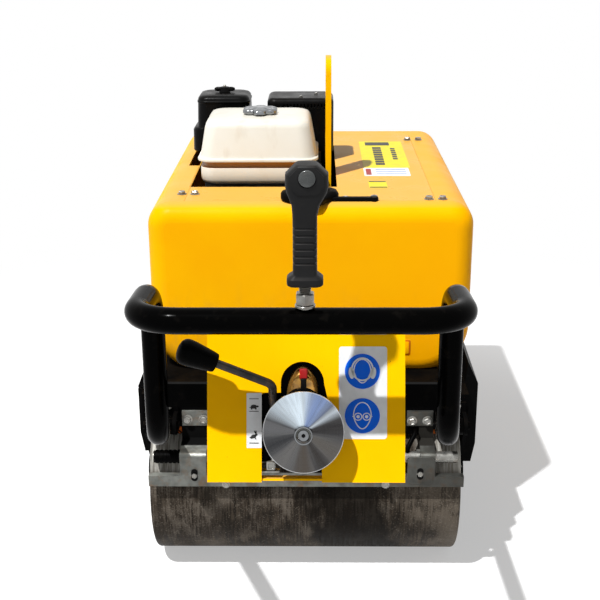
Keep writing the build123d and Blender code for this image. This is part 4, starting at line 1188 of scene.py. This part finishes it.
# Painted reflection: bright, bluish and dark wedges round the disc for the sheen of the faced metal.
PAINTED_REFLECTION_WEDGES = [(102, 58, (0.72, 0.83, 0.92)), (64, 26, (0.20, 0.28, 0.50))]
PAINTED_REFLECTION_WEDGES += [(32, 11, (0.50, 0.56, 0.62)), (8, 26, (0.018, 0.015, 0.014))]
PAINTED_REFLECTION_WEDGES += [(-33, 22, (0.10, 0.090, 0.078)), (-60, 15, (0.026, 0.021, 0.017))]
PAINTED_REFLECTION_WEDGES += [(-90, 20, (0.072, 0.058, 0.045)), (-126, 20, (0.13, 0.125, 0.12))]
PAINTED_REFLECTION_WEDGES += [(-158, 17, (0.022, 0.022, 0.024)), (172, 12, (0.12, 0.12, 0.125))]
streaked = disc_finish.span(streak.outputs["Fac"], 0.35, 0.65)
tone = disc_finish.mix(streaked, (0.055, 0.055, 0.058), (0.13, 0.13, 0.13))
for centre, half, colour in PAINTED_REFLECTION_WEDGES:
    tone = disc_finish.mix(wedge(centre, half), tone, colour)
cloudy = disc_finish.span(streak.outputs["Fac"], 0.40, 0.66, 0.0, 0.30)
tone = disc_finish.mix(cloudy, tone, (0.06, 0.057, 0.053))
ring_amount = disc_finish.span(rings.outputs["Fac"], 0.35, 0.65, 0.0, 0.12)
tone = disc_finish.mix(ring_amount, tone, (0.36, 0.38, 0.41))
# Painted highlight: a bright line at the disc's rim.
painted_rim_highlight = disc_finish.span(distance, 0.0541, 0.0546, 0.0, 0.45)
disc_finish.feed("Base Color", disc_finish.mix(painted_rim_highlight, tone, (0.85, 0.86, 0.88)))
disc_finish.feed("Roughness", disc_finish.span(streak.outputs["Fac"], 0.3, 0.7, 0.18, 0.34))
print("disc finish ready")

# %% push disc
disc_rows = [(-32, 14), (30, 14), (30, 54.2), (30.8, 55.3), (39.2, 55.3), (39.9, 54.7), (40, 53.8)]
disc_rows += [(40, 12.0), (34.4, 11.6)]
disc = turned("push_disc", disc_rows, 96)
on_panel(disc, DISC_U, DISC_V)
done(disc, "tiller", disc_finish, 30)
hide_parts("stop_disc")


def in_recess(name, rows, sides, finish):
    """A turned piece in the disc's recess."""
    return done(on_panel(turned(name, rows, sides), DISC_U, RECESS_V), "tiller", finish, 30)


rim_rows = [(34.0, 13.0), (40.0, 13.0), (40.9, 12.4), (40.9, 10.8), (40.2, 10.2), (34.9, 10.0)]
in_recess("disc_ring", rim_rows, 48, chrome_finish)
in_recess("disc_recess", [(34.2, 10.2), (35.2, 10.2)], 32, zinc_finish)
head_rows = [(34, 8.0), (37.6, 8.0), (38.4, 7.2), (38.4, 3.8)]
in_recess("disc_screw", head_rows, 32, chrome_finish)
# Painted shade: a thin black hexagon on the screw head for its socket's dark hole.
in_recess("socket_shade_disc", [(38.3, 3.0), (38.6, 3.0)], 6, engine_finish)
print("push disc ready")

# %% [markdown]
# ## Lever knob
# A rubber knob grows wider towards its rounded end. It is turned along the lever's slope.

# %% lever knob
LEVER_BEND = Vector((-45.8, -22.0, 26.2))
LEVER_TIP = Vector((-121.0, -42.0, 56.5))
slope = (LEVER_TIP - LEVER_BEND).normalized().to_track_quat("Z", "Y").to_matrix().to_4x4()
knob_rows = [(0, 10.5), (0.8, 12.6), (3, 13.4), (16, 15.4), (33, 17.6), (40, 18.2), (46, 18.0), (50.5, 16.0)]
knob_rows += [(53.5, 12.2), (55.2, 7.0), (55.6, 2.0)]
knob = turned("lever_knob_rubber", knob_rows, 40)
settle(knob, PANEL_STAND @ at(*LEVER_TIP) @ slope)
done(knob, "tiller", rubber_finish, 60)
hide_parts("lever_knob")
print("lever knob ready")

# %% [markdown]
# ## Behind the arch
# Through the arch one sees the polished housing of the valve, a red plunger in a black holder and
# the rubber collar of the disc's stem. The housing's warm colour is a painted reflection of the yellow
# sheet.

# %% valve housing
# Painted reflection: the housing's orange base colour for the yellow sheet mirrored in it.
painted_reflection_chrome = plated_finish("warm_chrome", (0.62, 0.33, 0.07), 0.20, 0.7)
housing_rows = [(-31.5, 23), (-20, 23), (-12, 21.5), (-7, 17), (-5, 10), (-4.4, 2)]
housing = turned("valve_housing", housing_rows, 48)
settle(housing, Matrix.Diagonal((1, 1.9, 1, 1)))
done(on_panel(housing, -5, 5.5), "tiller", painted_reflection_chrome, 60)
plunger_rows = [(0, 0, -14, 5.8, 7.6), (0, 0, -3, 5.8, 7.6), (0, 0, -1, 4.4, 6.2)]
plunger = soften(build_up("red_plunger", plunger_rows, 2, 2), 0.6)
done(on_panel(plunger, -3.6, 38.5), "tiller", label_red, 40)
holder_rows = [(0, 0, -14, 4.0, 12), (0, 0, 0, 4.0, 12), (0, 0, 2, 3.0, 10)]
holder = soften(build_up("plunger_holder", holder_rows, 1.5, 2), 0.6)
done(on_panel(holder, -3.4, 21), "tiller", engine_finish, 40)
collar_rows = [(-31.5, 27), (-3, 27), (1, 25.5), (1.5, 22), (-1, 20), (-1, 15)]
collar = on_panel(turned("stem_collar", collar_rows, 48), -5, -7)
done(collar, "tiller", rubber_finish, 40)
print("valve parts ready")

# %% nut in the lower corner
post_rows = [(-31.5, 6.2), (-9, 6.2), (-8, 5.4), (-8, 3.6), (-9.5, 3.2)]
post = build_up("square_nut", [(0, 0, z, half, half) for z, half in post_rows], 1.2, 2)
on_panel(post, -49.4, -90.5)
done(post, "tiller", bolt_finish, 30)
tip = on_panel(turned("nut_pin", [(-31.5, 2.2), (-6, 2.2), (-5, 1.4)], 14), -46.2, -81.5)
done(tip, "tiller", bolt_finish, 40)
ledge = on_panel(build_up("bright_ledge", [(0, 0, -31.5, 12, 1.0), (0, 0, -7, 12, 1.0)]), -49.5, -98.4)
done(ledge, "tiller", bolt_finish, 30)
print("corner nut ready")

# %% [markdown]
# # Top sheet
# Three foil plates lie on the top sheet. They are left blank but for a few plain bars.

# %% top plates
TOP_PLATES = [("top_plate_yellow", 185, 557, 110, 315, label_yellow)]
TOP_PLATES += [("top_plate_white", 182, 356, 106, 84, label_white)]
TOP_PLATES += [("top_plate_small", 155, 231, 40, 66, label_yellow)]
for name, x, y, wide, deep, finish in TOP_PLATES:
    piece = settle(flat_plate(name, wide, deep, PROUD, 3), at(x, y, TOP_SHEET_Z))
    done(piece, "chassis", finish)
TOP_BARS = [(176, 682, 62, 40, label_black)]
TOP_BARS += [(172, 440 + 27 * k, 22, 21, label_black) for k in range(8)]
TOP_BARS += [(212, 500 + 24 * k, 12, 17, label_black) for k in range(6)]
TOP_BARS += [(155, y, 38, 7, label_black) for y in (204, 258)]
TOP_BARS += [(140, 356, 12, 60, label_red)]
TOP_BARS += [(192, y, 70, 3, label_blue) for y in (378, 356, 334)]
for k, (x, y, wide, deep, finish) in enumerate(TOP_BARS):
    bar = settle(flat_plate(f"top_bar_{k + 1}", wide, deep, PROUD, 1.5), at(x, y, TOP_SHEET_Z + PROUD))
    done(bar, "chassis", finish)
print("top plates ready")

# %% [markdown]
# # Brackets, sleeves and bearing caps
# Both ends of the machine carry the same brackets, and the front ones are bolted through slots,
# each slot drawn as a thin black plate of painted shade. A ribbed rubber sleeve covers the left end
# of each spray pipe. Outside each side frame, a cap closes each drum bearing.

# %% bracket slots and bolts
BRACKET_FACE_Y = -143
SLOT_SHADE_PLATES = [(-232.2, 255.4, 6.8, 13), (231.5, 260, 6.5, 13)]
# Painted shade: each slot is a thin black plate on the bracket face, standing in for the dark hole.
for k, (x, z, half_wide, half_high) in enumerate(SLOT_SHADE_PLATES):
    slot = flat_plate(f"slot_shade_plate_{k + 1}", 2 * half_wide, 2 * half_high, 2.2, 6)
    done(settle(slot, at(x, BRACKET_FACE_Y, z) @ TO_OPERATOR), "chassis", engine_finish)
print("slots ready")

# %% [markdown]
# The rear brackets lie flush with the end of the machine, so their bolts stand on the shelf.

# %% bracket bolts
slot_bolts = [(x, BRACKET_FACE_Y - 0.3, z) for x, z, half_wide, half_high in SLOT_SHADE_PLATES]
place_bolts("slot_bolt", slot_bolts, TO_OPERATOR, "chassis", 0.8)
low_bolts = [(x, BRACKET_FACE_Y, 234) for x in (-167.8, 161)]
place_bolts("low_bolt", low_bolts, TO_OPERATOR, "chassis", 0.85)
REAR_SHELF = [(x, 836, 305) for x in (-249, -220, 220, 249)]
place_bolts("rear_shelf_bolt", REAR_SHELF, UPRIGHT, "chassis", 0.8)
cheek_rows = [(0, 0, 0, 27.5, 31), (0, 0, 1.2, 27.5, 31), (0, 0, 1.6, 27.0, 30.5)]
cheek = build_up("slotted_cheek", cheek_rows, 12, 6)
settle(cheek, at(232.5, BRACKET_FACE_Y, 267) @ TO_OPERATOR)
done(cheek, "chassis", zinc_finish)
print("bracket bolts ready")

# %% ribbed sleeve
RIB_STEP = 9
PIPE_END_X = -262
PIPE_Z = 286
sleeve_rows = [(0, 12.4)]
for k in range(6):
    foot = RIB_STEP * k
    sleeve_rows += [(1 + foot, 14.2), (5.5 + foot, 14.2), (6.5 + foot, 12.9), (9.5 + foot, 12.9)]
for end, pipe_y in (("front", -120), ("rear", 839)):
    sleeve = settle(turned(f"{end}_sleeve", sleeve_rows, 32), at(PIPE_END_X, pipe_y, PIPE_Z) @ TO_LEFT)
    done(sleeve, "chassis", rubber_finish, 30)
print("sleeves ready")

# %% bearing caps
AXLE_Z = 175
BOLT_RING = 42.3
BOLT_STAND = 3.2
cap_rows = [(0, 46), (3, 46), (4, 45), (4, 39), (8, 38), (9.5, 36.5), (9.5, 20), (8.4, 18.5), (8.4, 6)]
bearing_cap = turned("bearing_cap", cap_rows, 56)
angles = [math.radians(degrees) for degrees in range(30, 390, 60)]
ring = [(math.cos(angle) * BOLT_RING, math.sin(angle) * BOLT_RING) for angle in angles]
for side, face_x, outward, turning in (("left", -343, -1, TO_LEFT), ("right", 333, 1, TO_RIGHT)):
    for end, axle_y in (("front", 47), ("rear", 672)):
        piece = twin(bearing_cap, f"bearing_cap_{side}_{end}", at(face_x, axle_y, AXLE_Z) @ turning)
        done(piece, "chassis", chassis_finish, 30)
        places = [(face_x + outward * BOLT_STAND, axle_y + y, AXLE_Z + z) for y, z in ring]
        place_bolts(f"bearing_bolt_{side}_{end}", places, turning, "chassis", 0.32)
take(bearing_cap)
bpy.ops.object.delete()
print("bearing caps ready")

# %% [markdown]
# # Hood details
# A flat latch plate is set in the face of the hood behind the panel, in a narrow darker frame.

# %% hood latch
latch_edge = yellow_finish("latch_edge", (0.62, 0.13, 0.0), 0.5, 0.05, False)
frame_rows = [(0, 0, 0, 36, 17.3), (0, 0, 0.7, 36, 17.3), (0, 0, 1.0, 35.4, 16.7)]
LATCH_PLACE = at(185, 47, 462) @ TO_OPERATOR
latch_frame = settle(build_up("latch_frame", frame_rows, 3, 3), LATCH_PLACE)
done(latch_frame, "chassis", latch_edge)
latch_rows = [(0, 0, 0, 32.5, 14), (0, 0, 1.6, 32.5, 14), (0, 0, 2.1, 31.5, 13)]
latch = settle(build_up("hood_latch", latch_rows, 2, 3), LATCH_PLACE)
done(latch, "chassis", hood_finish)
print("latch ready")

# %% [markdown]
# Dark sealing strips fill the joints between the top sheet and the hood.

# %% sealing strips
for side, x in (("left", -259.2), ("right", 268.6)):
    seal = build_up(f"top_seal_{side}", [(x, 446, 776.6, 0.8, 356), (x, 446, 777.3, 0.8, 356)])
    done(seal, "chassis", latch_edge)
print("sealing strips ready")

# %% [markdown]
# The bolt pattern has done its work and goes.

# %% remove the pattern
take(bolt)
bpy.ops.object.delete()
print("pattern removed")
